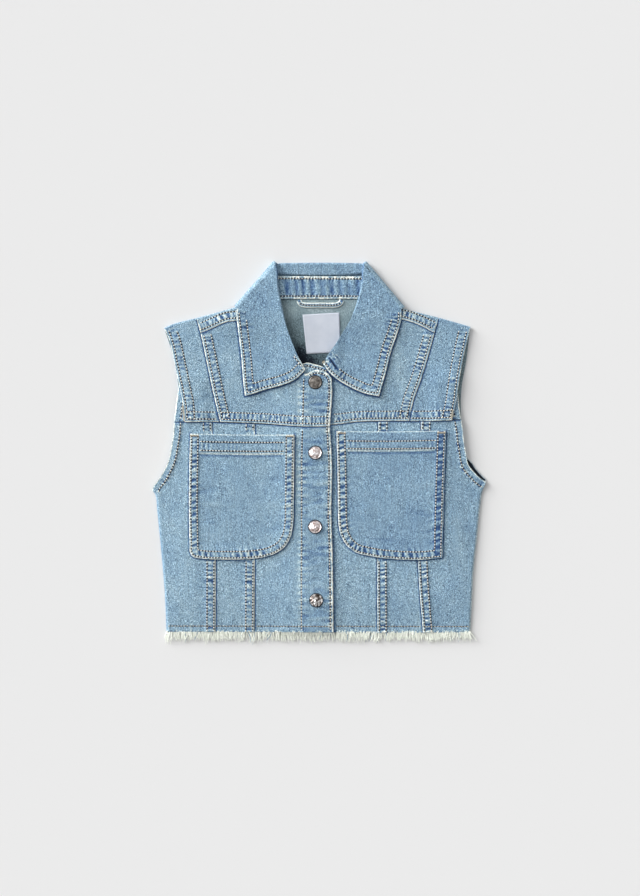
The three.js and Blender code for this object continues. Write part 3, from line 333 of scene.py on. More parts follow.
def collar_base(side, x, y):
    lap = smooth(-60, -22, x) if side is LEFT else smooth(28, 14, x)
    return front_base(x, y) + LAP_RISE * lap


def over_under_yoke(x, y):
    return front_base(x, y) + (CLOTH + SEAM) * smooth(106, 119, np.abs(x)) * smooth(86, 70, y)


def under_pocket(x, y):
    across = np.where(x < 0, smooth(-20, -24, x), smooth(12, 15, x))
    return smooth(-113, -109.5, y) * smooth(26, 22.5, y) * across


def band(lines, x, y, width=BAND):
    """The rise over a seam's turnings."""
    near = np.min([nearest(line, x, y)[0] for line in lines], axis=0)
    return BAND_RISE * (1 - smooth(width, width + BAND_FADE, near))


def creases(x, y):
    total = np.zeros(np.shape(x))
    for cx, cy, length, width, angle, rise in CREASES:
        c, s = math.cos(math.radians(angle)), math.sin(math.radians(angle))
        along, across = (x - cx) * c + (y - cy) * s, (y - cy) * c - (x - cx) * s
        total = total + rise * bump_at(along, length / 2) * bump_at(across, width / 2)
    return total


# What sewing does to the cloth beside a seam. Each mark gives relief in mm, and shade, which holds wear and
# painted shade together: 1 is well worn.
def folded_edge(line, rows=(3.0, 10.0), pitch=5.2, depth=0.42, slant=0.12, seed=1, fade=5.0, pale=1.1,
                blotch=1.0):
    """A turned edge that shows: a pale rounded ridge, a channel at each stitch row, and puckers between."""
    length = run_of(np.asarray(line, float))[-1]

    def mark(x, y):
        d, s = nearest(line, x, y)
        beside_it = smooth(0, 0.8, s) * smooth(length, length - 0.8, s)
        rise = -0.42 * bump_at(d, 0.5) + 0.1 * bump_at(d - 1.1, 0.5)
        worn = np.clip(1.4 + 0.75 * noise(s, 0 * s, 3.1, seed + 13), 0.5, 2.1)
        shade = worn * smooth(pale * 1.35, pale * 0.6, d)
        # Each stitch row sinks into a channel that is drawn darker: painted shade.
        for r in rows:
            rise = rise - 0.3 * bump_at(d - r, 0.8) * beside_it
            shade = shade - 0.5 * bump_at(d - r, 0.7) * beside_it
        r_rise, r_shade = puckers(d, s, rows, pitch, depth, slant, seed, fade)
        return rise + r_rise * beside_it, shade + blotch * r_shade * beside_it

    return mark


def puckers(d, s, rows, pitch, depth, slant, seed, fade):
    """Cloth gathered by stitches: blotches between the rows, some of them running on past the inner row."""
    middle = (rows[0] + rows[-1]) / 2
    half = max((rows[-1] - rows[0]) / 2, 2.2)
    warp = 1.8 * noise(s, 0 * s, 11.0, seed) + 0.7 * noise(s, 0 * s, 4.1, seed + 9)
    warp = warp + 0.9 * noise(s, d, 2.6, seed + 5)
    wave = np.cos(2 * math.pi * (s + warp + slant * (d - middle)) / pitch)
    strength = np.clip(0.85 + 0.6 * noise(s, 0 * s, 8.0, seed + 3), 0.5, 1.3)
    core = np.exp(-(np.abs(d - middle) / (half + 0.3)) ** 4)
    tail = smooth(0.8, 2.2, d) * np.exp(-(np.clip(d - rows[-1] + 1, 0, None) / fade) ** 2) * (1 - core)
    tail = tail * np.clip(0.15 + 1.1 * noise(s, 0 * s, 17.0, seed + 7), 0, 1)
    rise = 0.72 * depth * wave * strength * (core * smooth(0.6, 2.0, d) + tail)
    valley, crest = smooth(-0.05, -0.95, wave), smooth(0.2, 0.9, wave)
    ragged = np.clip(0.95 + 0.7 * noise(s, d, 1.7, seed + 11), 0.35, 1.6)
    narrow = np.exp(-(np.abs(d - middle) / (half * 0.82)) ** 4)
    between_rows = ragged * (0.7 * crest * core - 1.9 * valley * narrow)
    return rise, strength * (between_rows + tail * (0.4 * crest - 0.8 * valley)) + 0.2 * core


def row_only(line, pitch=6.0, depth=0.22, seed=1, width=5.0, side_shade=0.25):
    """A single row of stitches in flat cloth, with faint puckers on both sides."""

    def mark(x, y):
        d, s = nearest(line, x, y)
        warp = 2.2 * noise(s, 0 * s, 13.0, seed)
        strength = np.clip(0.6 + 0.7 * noise(s, d, 12.0, seed + 2), 0, 1.2)
        wave = np.cos(2 * math.pi * (s + warp) / pitch) * strength
        near = bump_at(d, width)
        rise = -0.28 * bump_at(d, 0.8) + depth * wave * near
        # The row's channel is drawn darker: painted shade.
        return rise, side_shade * wave * near - 0.2 * bump_at(d, 0.9)

    return mark


def below_edge(line, reach=0.95, dark=2.3):
    """The lower piece at a seam, dark where the ridge shades it."""

    def mark(x, y):
        d, _ = nearest(line, x, y)
        return 0 * d, -dark * bump_at(d, reach) + 0.12 * bump_at(d - 3, 1.6)

    return mark


def worked(marks, x, y):
    """The relief and shade of the creases, the cloth's own unevenness and the marks together."""
    # Painted shade and highlight: the creases are paler where they rise and darker where they sink.
    rise, shade = creases(x, y), 0.55 * creases(x, y)
    rise = rise + 0.10 * noise(x, y, 14.0, 5) + 0.04 * noise(x, y, 5.0, 8)
    shade = shade + 0.10 * noise(x, y, 19.0, 21) + 0.05 * noise(x, y, 6.0, 22)
    for mark in marks:
        more_rise, more_shade = mark(x, y)
        rise, shade = rise + more_rise, shade + more_shade
    return rise, shade


# Everything made, by name, for the sewing to lie on
pieces = {}


def keep(obj, slot, *nodes):
    pieces[obj.name.removesuffix("_cloth")] = obj
    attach(obj, BODY)
    if nodes:
        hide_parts(*nodes)
    return obj


# Meshes
def mesh_object(name, points, faces, materials, slots=None, shade=None, tone=0.0):
    """faces is a list of index arrays, each with one number of corners."""
    mesh = bpy.data.meshes.new(name)
    points = np.asarray(points, np.float32).reshape(-1, 3) * MM
    corners = np.concatenate([f.ravel() for f in faces]).astype(np.int32)
    totals = np.concatenate([np.full(len(f), f.shape[1]) for f in faces]).astype(np.int32)
    mesh.vertices.add(len(points))
    mesh.vertices.foreach_set("co", points.ravel())
    mesh.loops.add(len(corners))
    mesh.loops.foreach_set("vertex_index", corners)
    mesh.polygons.add(len(totals))
    mesh.polygons.foreach_set("loop_start", np.concatenate([[0], np.cumsum(totals)[:-1]]).astype(np.int32))
    mesh.polygons.foreach_set("use_smooth", np.ones(len(totals), bool))
    for material in materials:
        mesh.materials.append(material)
    if slots is not None:
        mesh.polygons.foreach_set("material_index", slots.astype(np.int32))
    if shade is not None:
        for attribute, values in (("wear_and_shade", shade.ravel()), ("tone", np.full(len(points), tone))):
            data = mesh.attributes.new(attribute, "FLOAT", "POINT").data
            data.foreach_set("value", values.astype(np.float32))
    mesh.update(calc_edges=True)
    obj = bpy.data.objects.new(name, mesh)
    bpy.context.scene.collection.objects.link(obj)
    return obj


def shell(name, outer, inner, shade, inner_shade=None, inner_slot=1, materials=None, slot="denim",
          whole=True):
    """A cloth: a closed shell between two grids of points, rows of columns.

    whole says that it stands for the solid of its name.
    """
    rows, columns = outer.shape[:2]
    count = rows * columns
    ids = np.arange(2 * count).reshape(2, rows, columns)
    if inner_shade is None:
        inner_shade = np.zeros((rows, columns))

    def quads(a):
        return np.stack([a[:-1, :-1], a[:-1, 1:], a[1:, 1:], a[1:, :-1]], -1).reshape(-1, 4)

    o, i = ids
    top, under = quads(o), quads(i)[:, ::-1]
    rim = np.concatenate([
        np.stack([i[0, :-1], i[0, 1:], o[0, 1:], o[0, :-1]], -1),
        np.stack([o[-1, :-1], o[-1, 1:], i[-1, 1:], i[-1, :-1]], -1),
        np.stack([o[:-1, 0], o[1:, 0], i[1:, 0], i[:-1, 0]], -1),
        np.stack([i[:-1, -1], i[1:, -1], o[1:, -1], o[:-1, -1]], -1),
    ])
    faces = np.concatenate([top, under, rim])
    points = np.concatenate([outer.reshape(-1, 3), inner.reshape(-1, 3)])
    a, b, c, d = (points[faces[:, k]] for k in range(4))
    volume = np.einsum("ij,ij->i", a, np.cross(b, c) + np.cross(c, d)).sum()
    if volume < 0:
        faces = faces[:, ::-1]
    slots = np.zeros(len(faces), int)
    slots[len(top):len(top) + len(under)] = inner_slot
    shades = np.concatenate([shade.ravel(), inner_shade.ravel()])
    obj = mesh_object(f"{name}_cloth", points, [faces], materials or CLOTH_LOOKS, slots, shades, TONES[name])
    return keep(obj, slot, *([name] if whole else []))


def stops(length, step, end=True):
    """Shares of a length: close together at the ends, where an edge is rounded, and even between."""
    first = SEAM / 2
    low = [first + n for n in EDGE_STEPS]
    high = [length - first - n for n in EDGE_STEPS] if end else [length - first]
    middle = np.linspace(low[-1], high[-1], max(2, int(round((high[-1] - low[-1]) / step)) + 1))
    marks = np.concatenate([[first], low[:-1], middle, high[:-1][::-1], [length - first]])
    return np.unique(np.round(marks, 4)) / length


def patch(bottom, top, left, right, keys=(None, None)):
    """A map from shares across and up to a plan point, between four lines."""
    bottom, top, left, right = (np.asarray(line, float) for line in (bottom, top, left, right))

    def plan(u, v):
        u, v = np.asarray(u, float)[..., None], np.asarray(v, float)[..., None]
        b, t = at(bottom, u[..., 0], keys[0]), at(top, u[..., 0], keys[0])
        l, r = at(left, v[..., 0], keys[1]), at(right, v[..., 0], keys[1])
        corners = (bottom[0] * (1 - u) + bottom[-1] * u) * (1 - v) + (top[0] * (1 - u) + top[-1] * u) * v
        return b * (1 - v) + t * v + l * (1 - u) + r * u - corners

    return plan


def grid_of(plan, across, up):
    u, v = np.meshgrid(across, up)
    xy = plan(u, v)
    return xy[..., 0], xy[..., 1]


def layers(x, y, base, thick, marks):
    """The heights of a laid cloth's upper and under face, and the upper one's shade."""
    rise, shade = worked(marks, x, y)
    under = base(x, y)
    return np.maximum(under + thick(x, y) + rise, under + THINNEST), under, shade


def flat_piece(name, x, y, base, thick, marks):
    top, under, shade = layers(x, y, base, thick, marks)
    return shell(name, laid(x, y, top), laid(x, y, under), shade)


# Materials
def srgb(r, g, b):
    def linear(c):
        c = c / 255
        return c / 12.92 if c <= 0.04045 else ((c + 0.055) / 1.055) ** 2.4

    return (linear(r), linear(g), linear(b), 1)


class Wiring:
    """Short names for the nodes that the materials and the world share."""

    def __init__(self, tree):
        self.nodes, self.links = tree.nodes, tree.links

    def set(self, socket, value):
        if isinstance(value, bpy.types.NodeSocket):
            self.links.new(value, socket)
        else:
            socket.default_value = value

    def place(self):
        return self.nodes.new("ShaderNodeTexCoord").outputs["Object"]

    def scaled(self, vector, scale, rotation=(0, 0, 0)):
        node = self.nodes.new("ShaderNodeMapping")
        node.inputs["Scale"].default_value = scale
        node.inputs["Rotation"].default_value = rotation
        self.links.new(vector, node.inputs["Vector"])
        return node.outputs["Vector"]

    def noise(self, vector, scale, detail=2.0, roughness=0.5):
        node = self.nodes.new("ShaderNodeTexNoise")
        node.inputs["Scale"].default_value = scale
        node.inputs["Detail"].default_value = detail
        node.inputs["Roughness"].default_value = roughness
        self.links.new(vector, node.inputs["Vector"])
        return node.outputs["Fac"]

    def wave(self, vector, scale, distortion=0.0, direction="X"):
        node = self.nodes.new("ShaderNodeTexWave")
        node.bands_direction = direction
        node.inputs["Scale"].default_value = scale
        node.inputs["Distortion"].default_value = distortion
        self.links.new(vector, node.inputs["Vector"])
        return node.outputs["Fac"]

    def math(self, operation, a, b=0.0, c=0.0):
        node = self.nodes.new("ShaderNodeMath")
        node.operation = operation
        for socket, value in zip(node.inputs, (a, b, c)):
            self.set(socket, value)
        return node.outputs["Value"]

    def centred(self, value, amount):
        """A 0 to 1 value, moved to lie about nought and scaled."""
        return self.math("MULTIPLY", self.math("SUBTRACT", value, 0.5), amount)

    def attribute(self, name):
        node = self.nodes.new("ShaderNodeAttribute")
        node.attribute_name = name
        return node.outputs["Fac"]

    def ramp(self, value, colours):
        node = self.nodes.new("ShaderNodeValToRGB")
        elements = node.color_ramp.elements
        while len(elements) > 1:
            elements.remove(elements[-1])
        elements[0].position, elements[0].color = colours[0]
        for position, colour in colours[1:]:
            elements.new(position).color = colour
        self.links.new(value, node.inputs["Fac"])
        return node.outputs["Color"]

    def lit(self, colour, amount):
        node = self.nodes.new("ShaderNodeVectorMath")
        node.operation = "SCALE"
        self.links.new(colour, node.inputs[0])
        self.links.new(amount, node.inputs["Scale"])
        return node.outputs["Vector"]

    def bump(self, height, distance, strength=1.0):
        node = self.nodes.new("ShaderNodeBump")
        node.inputs["Distance"].default_value = distance
        node.inputs["Strength"].default_value = strength
        self.links.new(height, node.inputs["Height"])
        return node.outputs["Normal"]


class Look(Wiring):
    """A material with one shader, whose inputs are values or other nodes."""

    def __init__(self, name):
        self.material = bpy.data.materials.new(name)
        self.material.use_nodes = True
        super().__init__(self.material.node_tree)
        self.nodes.clear()
        output = self.nodes.new("ShaderNodeOutputMaterial")
        self.shader = self.nodes.new("ShaderNodeBsdfPrincipled")
        self.links.new(self.shader.outputs["BSDF"], output.inputs["Surface"])

    def made_of(self, inputs):
        for name, value in inputs.items():
            self.set(self.shader.inputs[name], value)
        return self.material


def denim(name, colours, grain=1.0):
    """Washed twill: slubs, a fine grain, clouds and a diagonal rib, over the paleness that sewing wore in and
    the painted shade of the marks.
    """
    w = Look(name)
    place = w.place()
    slubs = w.noise(w.scaled(place, (1600, 420, 400)), 1.0, 2.0, 0.6)
    warp = w.noise(w.scaled(place, (1100, 40, 40)), 1.0, 1.0, 0.5)
    flecks = w.noise(place, 2000.0, 1.0, 0.6)
    clouds = w.noise(place, 70.0, 4.0, 0.55)
    rib = w.wave(w.scaled(place, (1, 1, 1), (0, 0, math.radians(-52))), 330.0, 1.2)
    # The marks' shade attribute holds wear and painted shade together.
    value = w.math("ADD", w.math("MULTIPLY", w.attribute("wear_and_shade"), 0.36), w.attribute("tone"))
    for field, amount in ((slubs, 0.5), (flecks, 1.3), (clouds, 0.14)):
        value = w.math("ADD", value, w.centred(field, amount * grain))
    value = w.math("ADD", value, 0.5)
    light = 1.0
    for field, amount in ((slubs, 1.15), (flecks, 4.2), (warp, 0.55), (rib, 0.1)):
        light = w.math("ADD", w.centred(field, amount * grain), light)
    yarns = w.math("ADD", slubs, w.math("MULTIPLY", flecks, 0.7))
    weave = w.math("ADD", w.math("MULTIPLY", rib, 0.6), yarns)
    return w.made_of({
        "Base Color": w.lit(w.ramp(value, colours), light), "Normal": w.bump(weave, 0.00022, 0.8),
        "Roughness": 0.88, "Specular IOR Level": 0.18, "Sheen Weight": 0.04, "Sheen Roughness": 0.5,
    })


def thread(name, pale, dark, through=0.0):
    """Sewing thread: fine twisted ply, a little uneven in colour.

    through is a painted glow: an emission that stands in for the light that a loose fibre passes on to the
    next, which its solid tube here would stop.
    """
    w = Look(name)
    place = w.place()
    patches = w.noise(place, 260.0, 2.0)
    ply = w.wave(w.scaled(place, (1, 1, 1), (0, 0, math.radians(40))), 900.0, 0.5)
    value = w.math("ADD", w.math("MULTIPLY", patches, 0.75), w.math("MULTIPLY", ply, 0.25))
    return w.made_of({
        "Base Color": w.ramp(value, [(0.3, dark), (0.65, pale)]), "Normal": w.bump(ply, 0.00008),
        "Roughness": 0.8, "Emission Color": pale, "Emission Strength": through,
    })


def label_tape():
    w = Look("label_tape")
    place = w.place()
    warp = w.wave(place, 700.0, 0.3)
    weft = w.wave(place, 700.0, 0.3, "Y")
    cloud = w.noise(place, 90.0, 3.0)
    value = w.math("ADD", w.math("MULTIPLY", cloud, 0.7), w.math("MULTIPLY", warp, 0.3))
    colours = [(0.2, srgb(196, 204, 218)), (0.8, srgb(220, 225, 235))]
    weave = w.bump(w.math("ADD", warp, weft), 0.00006)
    return w.made_of({"Base Color": w.ramp(value, colours), "Normal": weave, "Roughness": 0.6})


def snap_metal(name, colours, low):
    """Plated metal: darker where the finish has worn into the hollows. low is its least roughness."""
    w = Look(name)
    place = w.place()
    dents = w.noise(place, 420.0, 2.0, 0.5)
    patina = w.noise(place, 300.0, 3.0, 0.6)
    brushed = w.noise(w.scaled(place, (300, 2500, 300)), 1.0, 2.0)
    return w.made_of({
        "Base Color": w.ramp(patina, colours), "Roughness": w.math("MULTIPLY_ADD", brushed, 0.2, low),
        "Normal": w.bump(dents, 0.0004, 0.5), "Metallic": 1.0,
    })


OUTSIDE = denim("denim", [
    (0.0, srgb(58, 88, 132)), (0.22, srgb(97, 128, 164)), (0.42, srgb(131, 163, 186)),
    (0.55, srgb(147, 177, 196)), (0.72, srgb(174, 197, 206)), (0.9, srgb(212, 224, 220)),
    (1.0, srgb(240, 244, 236)),
])
# The reverse's darkest stop is painted shadow, for the slit at the right underarm.
INSIDE = denim("denim_reverse", [
    (0.0, srgb(26, 34, 46)), (0.08, srgb(80, 99, 107)), (0.4, srgb(128, 149, 156)),
    (0.6, srgb(146, 166, 172)), (0.9, srgb(184, 194, 202)),
], 0.6)
THREAD = thread("thread", srgb(252, 250, 238), srgb(234, 230, 214))
HEM_THREAD = thread("hem_thread", srgb(214, 202, 178), srgb(186, 174, 152))
BARTACK = thread("bartack", srgb(214, 206, 186), srgb(178, 168, 146))
LABEL_THREAD = thread("label_thread", srgb(236, 238, 246), srgb(206, 210, 226))
# Painted shade: near-black beads for the shade in the needle holes and in the slit at the right leaf's front
# end.
HOLE_SHADE = thread("needle_hole_shade", srgb(22, 32, 50), srgb(8, 13, 24))
# The fray's threads glow a little: painted light.
FRAY = thread("fray_thread", srgb(252, 255, 246), srgb(244, 249, 236), 0.06)
FRAY_BLUE = thread("fray_warp", srgb(150, 176, 194), srgb(112, 142, 172))
TAPE = label_tape()
NICKEL = snap_metal("snap_nickel", [
    (0.36, srgb(150, 128, 122)), (0.5, srgb(222, 210, 208)), (0.62, srgb(250, 246, 248))], 0.16)
BRONZE = snap_metal("snap_bronze", [
    (0.36, srgb(92, 88, 84)), (0.52, srgb(142, 136, 130)), (0.66, srgb(186, 180, 174))], 0.34)
STEEL = snap_metal("snap_steel", [
    (0.4, srgb(66, 58, 54)), (0.5, srgb(150, 140, 136)), (0.58, srgb(246, 244, 242))], 0.14)
# Painted shadow: a near-black finish for the flange round each cap, standing for the cap's dark outline and
# contact shadow.
SNAP_OUTLINE_SHADE = snap_metal("snap_outline_shade", [(0.4, srgb(34, 36, 42)), (0.7, srgb(66, 68, 74))], 0.6)
CLOTH_LOOKS = [OUTSIDE, INSIDE]


# Cloth pieces
def plan_area(x, y):
    """The area of a grid's plan, in square metres."""
    ax, ay = x[1:, 1:] - x[:-1, :-1], y[1:, 1:] - y[:-1, :-1]
    bx, by = x[1:, :-1] - x[:-1, 1:], y[1:, :-1] - y[:-1, 1:]
    return float(np.abs(ax * by - ay * bx).sum() / 2) * MM * MM


def upward(points):
    return curve(points)[::-1]


def fold_centre(side, points):
    """Shoulder line points moved in by the fold's radius, with that radius and the back's height there."""
    x, y = np.asarray(points, float).T
    radius = (front_base(x, y) + CLOTH - lift(x, y)) / 2
    nx, ny = side["shoulder_normal"]
    return x - nx * radius, y - ny * radius, radius, lift(x, y)


FOLD_ANGLES = np.radians(np.linspace(0, 180, 13)[1:-1])


def fold_rows(side, points):
    """Rows of points round a shoulder fold, from the top layer to the bottom one."""
    cx, cy, radius, low = fold_centre(side, points)
    nx, ny = side["shoulder_normal"]
    outer, inner = [], []
    for angle in FOLD_ANGLES:
        for rows, r in ((outer, radius), (inner, radius - CLOTH)):
            away = r * math.sin(angle)
            rows.append(laid(cx + nx * away, cy + ny * away, low + radius + r * math.cos(angle)))
    return np.array(outer), np.array(inner)


def centre_line(side, points):
    return np.column_stack(fold_centre(side, points)[:2])


def shoulder_line(side, start, end):
    return between(curve(side["shoulder"]), 0, start, end)


def make_back_body():
    inset = CLOTH + 4 * SEAM

    def edge(side):
        line = np.vstack([curve(side["armhole"]), curve(side["side_edge"])[1:]])[::-1].copy()
        peek = BACK_PEEK * smooth(-4, -12, line[:, 1]) * smooth(-31, -26, line[:, 1]) if side is RIGHT else 0
        line[:, 0] += side["sign"] * (peek - inset * smooth(-30, -40, line[:, 1]))
        return np.vstack([line, [(side["sign"] * BACK_SIDE_X, BACK_SEAM_Y)]])

    hem, seam = [(-152, HEM_Y), (149, HEM_Y)], [(-BACK_SIDE_X, BACK_SEAM_Y), (BACK_SIDE_X, BACK_SEAM_Y)]
    plan = patch(hem, seam, edge(LEFT), edge(RIGHT), (0, 1))
    x, y = grid_of(plan, stops(hem[1][0] - hem[0][0], BACK_GRID), stops(BACK_SEAM_Y - HEM_Y, BACK_GRID))
    shade = 0.2 * noise(x, y, 24.0, 31) - 0.5 * smooth(8, 0, np.abs(y - BACK_SEAM_Y))
    # On the inside face at the right underarm, where the back peeks out: a pale rim at its edge, and just in
    # from it near-black painted shadow for the slit into the vest.
    from_edge, _ = nearest(edge(RIGHT), x, y)
    beside_arm = smooth(0, -9, y) * smooth(-36, -30, y)
    inside = (2.4 * smooth(1.2, 0.7, from_edge) - 4.0 * smooth(0.75, 1.15, from_edge)) * beside_arm
    obj = shell("back_body", laid(x, y, lift(x, y)), laid(x, y, back_top(x, y)), shade, inside)


def make_shoulder_panel(side):
    s = side["sign"]
    name = f"shoulder_panel_{side['name']}"
    wide, front_long, round_fold, back_long = 33, 94, 9, 80
    line = shoulder_line(side, side["shoulder"][0][0], side["princess"][-1][0])
    centres = centre_line(side, line)
    tip_in, seam_in = centres[0], centres[-1]
    sleeve, ridge = curve(side["sleeve_edge"]), curve(side["princess"])
    edge = np.vstack([sleeve[sleeve[:, 1] < tip_in[1] - 2], tip_in])
    seam = np.vstack([ridge[ridge[:, 1] < seam_in[1] - 2], seam_in])
    chest = curve(side["chest"])
    front = patch(between(chest, 0, edge[0][0], seam[0][0]), centres, edge, seam)
    marks = [
        folded_edge(edge, (3.0, 10.5), 4.6, 0.3, seed=11 + s, pale=0.7, blotch=0.6),
        folded_edge(chest, (3.0, 10.0), 5.6, 0.25, seed=14 + s),
        below_edge(curve(side["princess"]), dark=3.0),
    ]

    def thick(x, y):
        return CLOTH + band([edge, chest], x, y) * smooth(tip_in[1] - 2, tip_in[1] - 12, y)

    across = stops(wide, GRID)
    x, y = grid_of(front, across, stops(front_long, GRID, end=False))
    top, under, shade = layers(x, y, over_under_yoke, thick, marks)
    near_fold = smooth(tip_in[1] - 12, tip_in[1] - 1, y)
    top = top * (1 - near_fold) + (over_under_yoke(x, y) + CLOTH) * near_fold
    fold_out, fold_in = fold_rows(side, at(line, across))
    side_corner, inner_corner = (s * BACK_SIDE_X, BACK_SEAM_Y), (s * BACK_PANEL_X, BACK_SEAM_Y)
    back_edge = curve([side_corner, (s * 142, 66), (s * 147, 95), tip_in])
    back_seam = curve([inner_corner, (s * 112, 86), seam_in])
    back = patch([side_corner, inner_corner], centres, back_edge, back_seam)
    bx, by = grid_of(back, across, stops(back_long, BACK_GRID, end=False)[::-1])
    outer = np.concatenate([laid(x, y, top), fold_out, laid(bx, by, lift(bx, by))])
    inner = np.concatenate([laid(x, y, under), fold_in, laid(bx, by, back_top(bx, by))])
    hidden = outer[len(shade):]
    rest = 0.05 + 0.2 * noise(hidden[..., 0], hidden[..., 2] * 6, 5.0, 41)
    obj = shell(name, outer, inner, np.concatenate([shade, rest]))


def make_back_yoke():
    """The yoke's flat and its strips over the shoulders are one cloth, and each strip is its own shell."""

    def fold_line(side):
        return centre_line(side, shoulder_line(side, side["princess"][-1][0], side["shoulder"][-1][0]))

    neck_line = [(-52, BACK_NECK_Y - 0.6), (0, BACK_NECK_Y - 0.4), (50, BACK_NECK_Y - 0.6)]
    top = np.vstack([fold_line(LEFT), neck_line, fold_line(RIGHT)[::-1]])
    corners = [(-BACK_PANEL_X, BACK_SEAM_Y), (BACK_PANEL_X, BACK_SEAM_Y)]
    seams = curve([corners[0], (-112, 86), top[0]]), curve([corners[1], (112, 86), top[-1]])
    plan = patch(corners, top, *seams, (0, None))
    x, y = grid_of(plan, stops(240, YOKE_GRID), stops(96, YOKE_GRID))
    low = lift(x, y)
    neck = bump_at(np.hypot((x + 4) / 34, (y - 122) / 34), 1.0)
    relief = 0.25 * noise(x, y, 12.0, 51) * neck
    # The inside seen through the neck: painted shadow deep in the neck's low V and on the left, under the
    # left leaf; a darker line along the neck seam, and paler towards the top.
    shade = 0.3 * noise(x, y, 9.0, 52) - 0.45 * bump_at(y - BACK_NECK_Y, 3.0) + 0.5 * smooth(128, 140, y)
    shade = shade - 0.8 * smooth(112, 96, y) - 0.25 - 0.5 * smooth(4, -28, x + 0.25 * (y - 120))
    outer, inner = laid(x, y, low), laid(x, y, low + CLOTH + np.minimum(relief, 0.2))
    obj = shell("back_yoke", outer, inner, 0 * shade, shade)
    for side in SIDES:
        make_yoke_strip(side)


def make_yoke_strip(side):
    name = f"yoke_strip_{side['name']}"
    line = shoulder_line(side, side["princess"][-1][0], side["shoulder"][-1][0])
    if side is RIGHT:
        line = line[::-1]
    seam = curve(side["strip_seam"])
    centres = centre_line(side, line)
    plan = patch(seam, centres, [seam[0], centres[0]], [seam[-1], centres[-1]])
    across, up = stops(60, GRID), stops(17, GRID * 0.8, end=False)
    marks = [folded_edge(seam, (3.0, 9.5), 4.8, 0.3, seed=61 + side["sign"])]

    def thick(x, y):
        near_fold = smooth(-6, -1, y - y_on(centres, x))
        return CLOTH + band([seam], x, y) * (1 - near_fold)

    x, y = grid_of(plan, across, up)
    top, under, shade = layers(x, y, front_base, thick, marks)
    near = smooth(0.72, 1.0, up)[:, None]
    top = top * (1 - near) + (front_base(x, y) + CLOTH) * near
    shade = shade + 0.9 * bump_at(nearest(curve(side["princess"]), x, y)[0], 1.0)
    fold_out, fold_in = fold_rows(side, at(line, across))
    reach = np.array([0.0, 2.0])[:, None, None]
    tx, ty = np.moveaxis(at(centres, across) - reach * side["shoulder_normal"], -1, 0)
    outer = np.concatenate([laid(x, y, top), fold_out, laid(tx, ty, lift(tx, ty))])
    inner = np.concatenate([laid(x, y, under), fold_in, laid(tx, ty, back_top(tx, ty))])
    hidden = outer[len(up):]
    rest = 0.05 + 0.2 * noise(hidden[..., 0], hidden[..., 2] * 6, 5.0, 42)
    obj = shell(name, outer, inner, np.concatenate([shade, rest]), whole=False)


def make_under_yoke(side):
    name = f"under_yoke_{side['name']}"
    a, b, c, d, e = side["under_yoke"]
    plan = patch([a, e], [c, d], [a, b, c], [e, d])
    marks = [folded_edge([a, b, c], (6.5,), 5.0, 0.3, seed=71),
             below_edge(curve(side["sleeve_edge"]), dark=0.7)]
    obj = flat_piece(name, *grid_of(plan, stops(25, GRID), stops(38, GRID)), front_base, level(CLOTH), marks)


def placket_thick(side, x):
    """What the turned front edge adds."""
    if side is LEFT:
        return (FOLDED - CLOTH) * smooth(PLACKET_STITCH_X - 2, PLACKET_STITCH_X, x)
    return (FOLDED - CLOTH) * smooth(RIGHT_FACING_X, RIGHT_FACING_X - 3, x)


def placket_line():
    """The left front's folded edge, from the hem to the arch."""
    return np.vstack([curve(LEFT["front_edge"]), curve(YOKE_FOLD)[1:]])


def placket_streaks(x, y):
    """The snaps pull the placket into soft dark streaks that run across it."""
    streak = noise(0.22 * x, y, 3.2, 85) + 0.6 * noise(0.4 * x, y, 1.9, 86)
    return 0 * x, smooth(-20, -16, x) * (0.5 * np.minimum(streak, 0)) + 0.3 * bump_at(x + 20.8, 2.0)


def placket_marks():
    stitched = [(PLACKET_STITCH_X + 0.8, HEM_Y), (PLACKET_STITCH_X - 0.5, 2), (PLACKET_STITCH_X + 1.2, 70)]
    arch = np.vstack([placket_line(), curve(ARCH)[::-1]])
    return [
        folded_edge(arch, (3.2,), 7.5, 0.3, slant=0.0, seed=81, fade=9.0, pale=2.0),
        row_only(stitched, 6.5, 0.2, seed=83, side_shade=0.7), placket_streaks,
    ]


def collar_outline(side):
    return np.vstack([curve(side["collar_end"][2:]), curve(side["collar_edge"])[1:]])


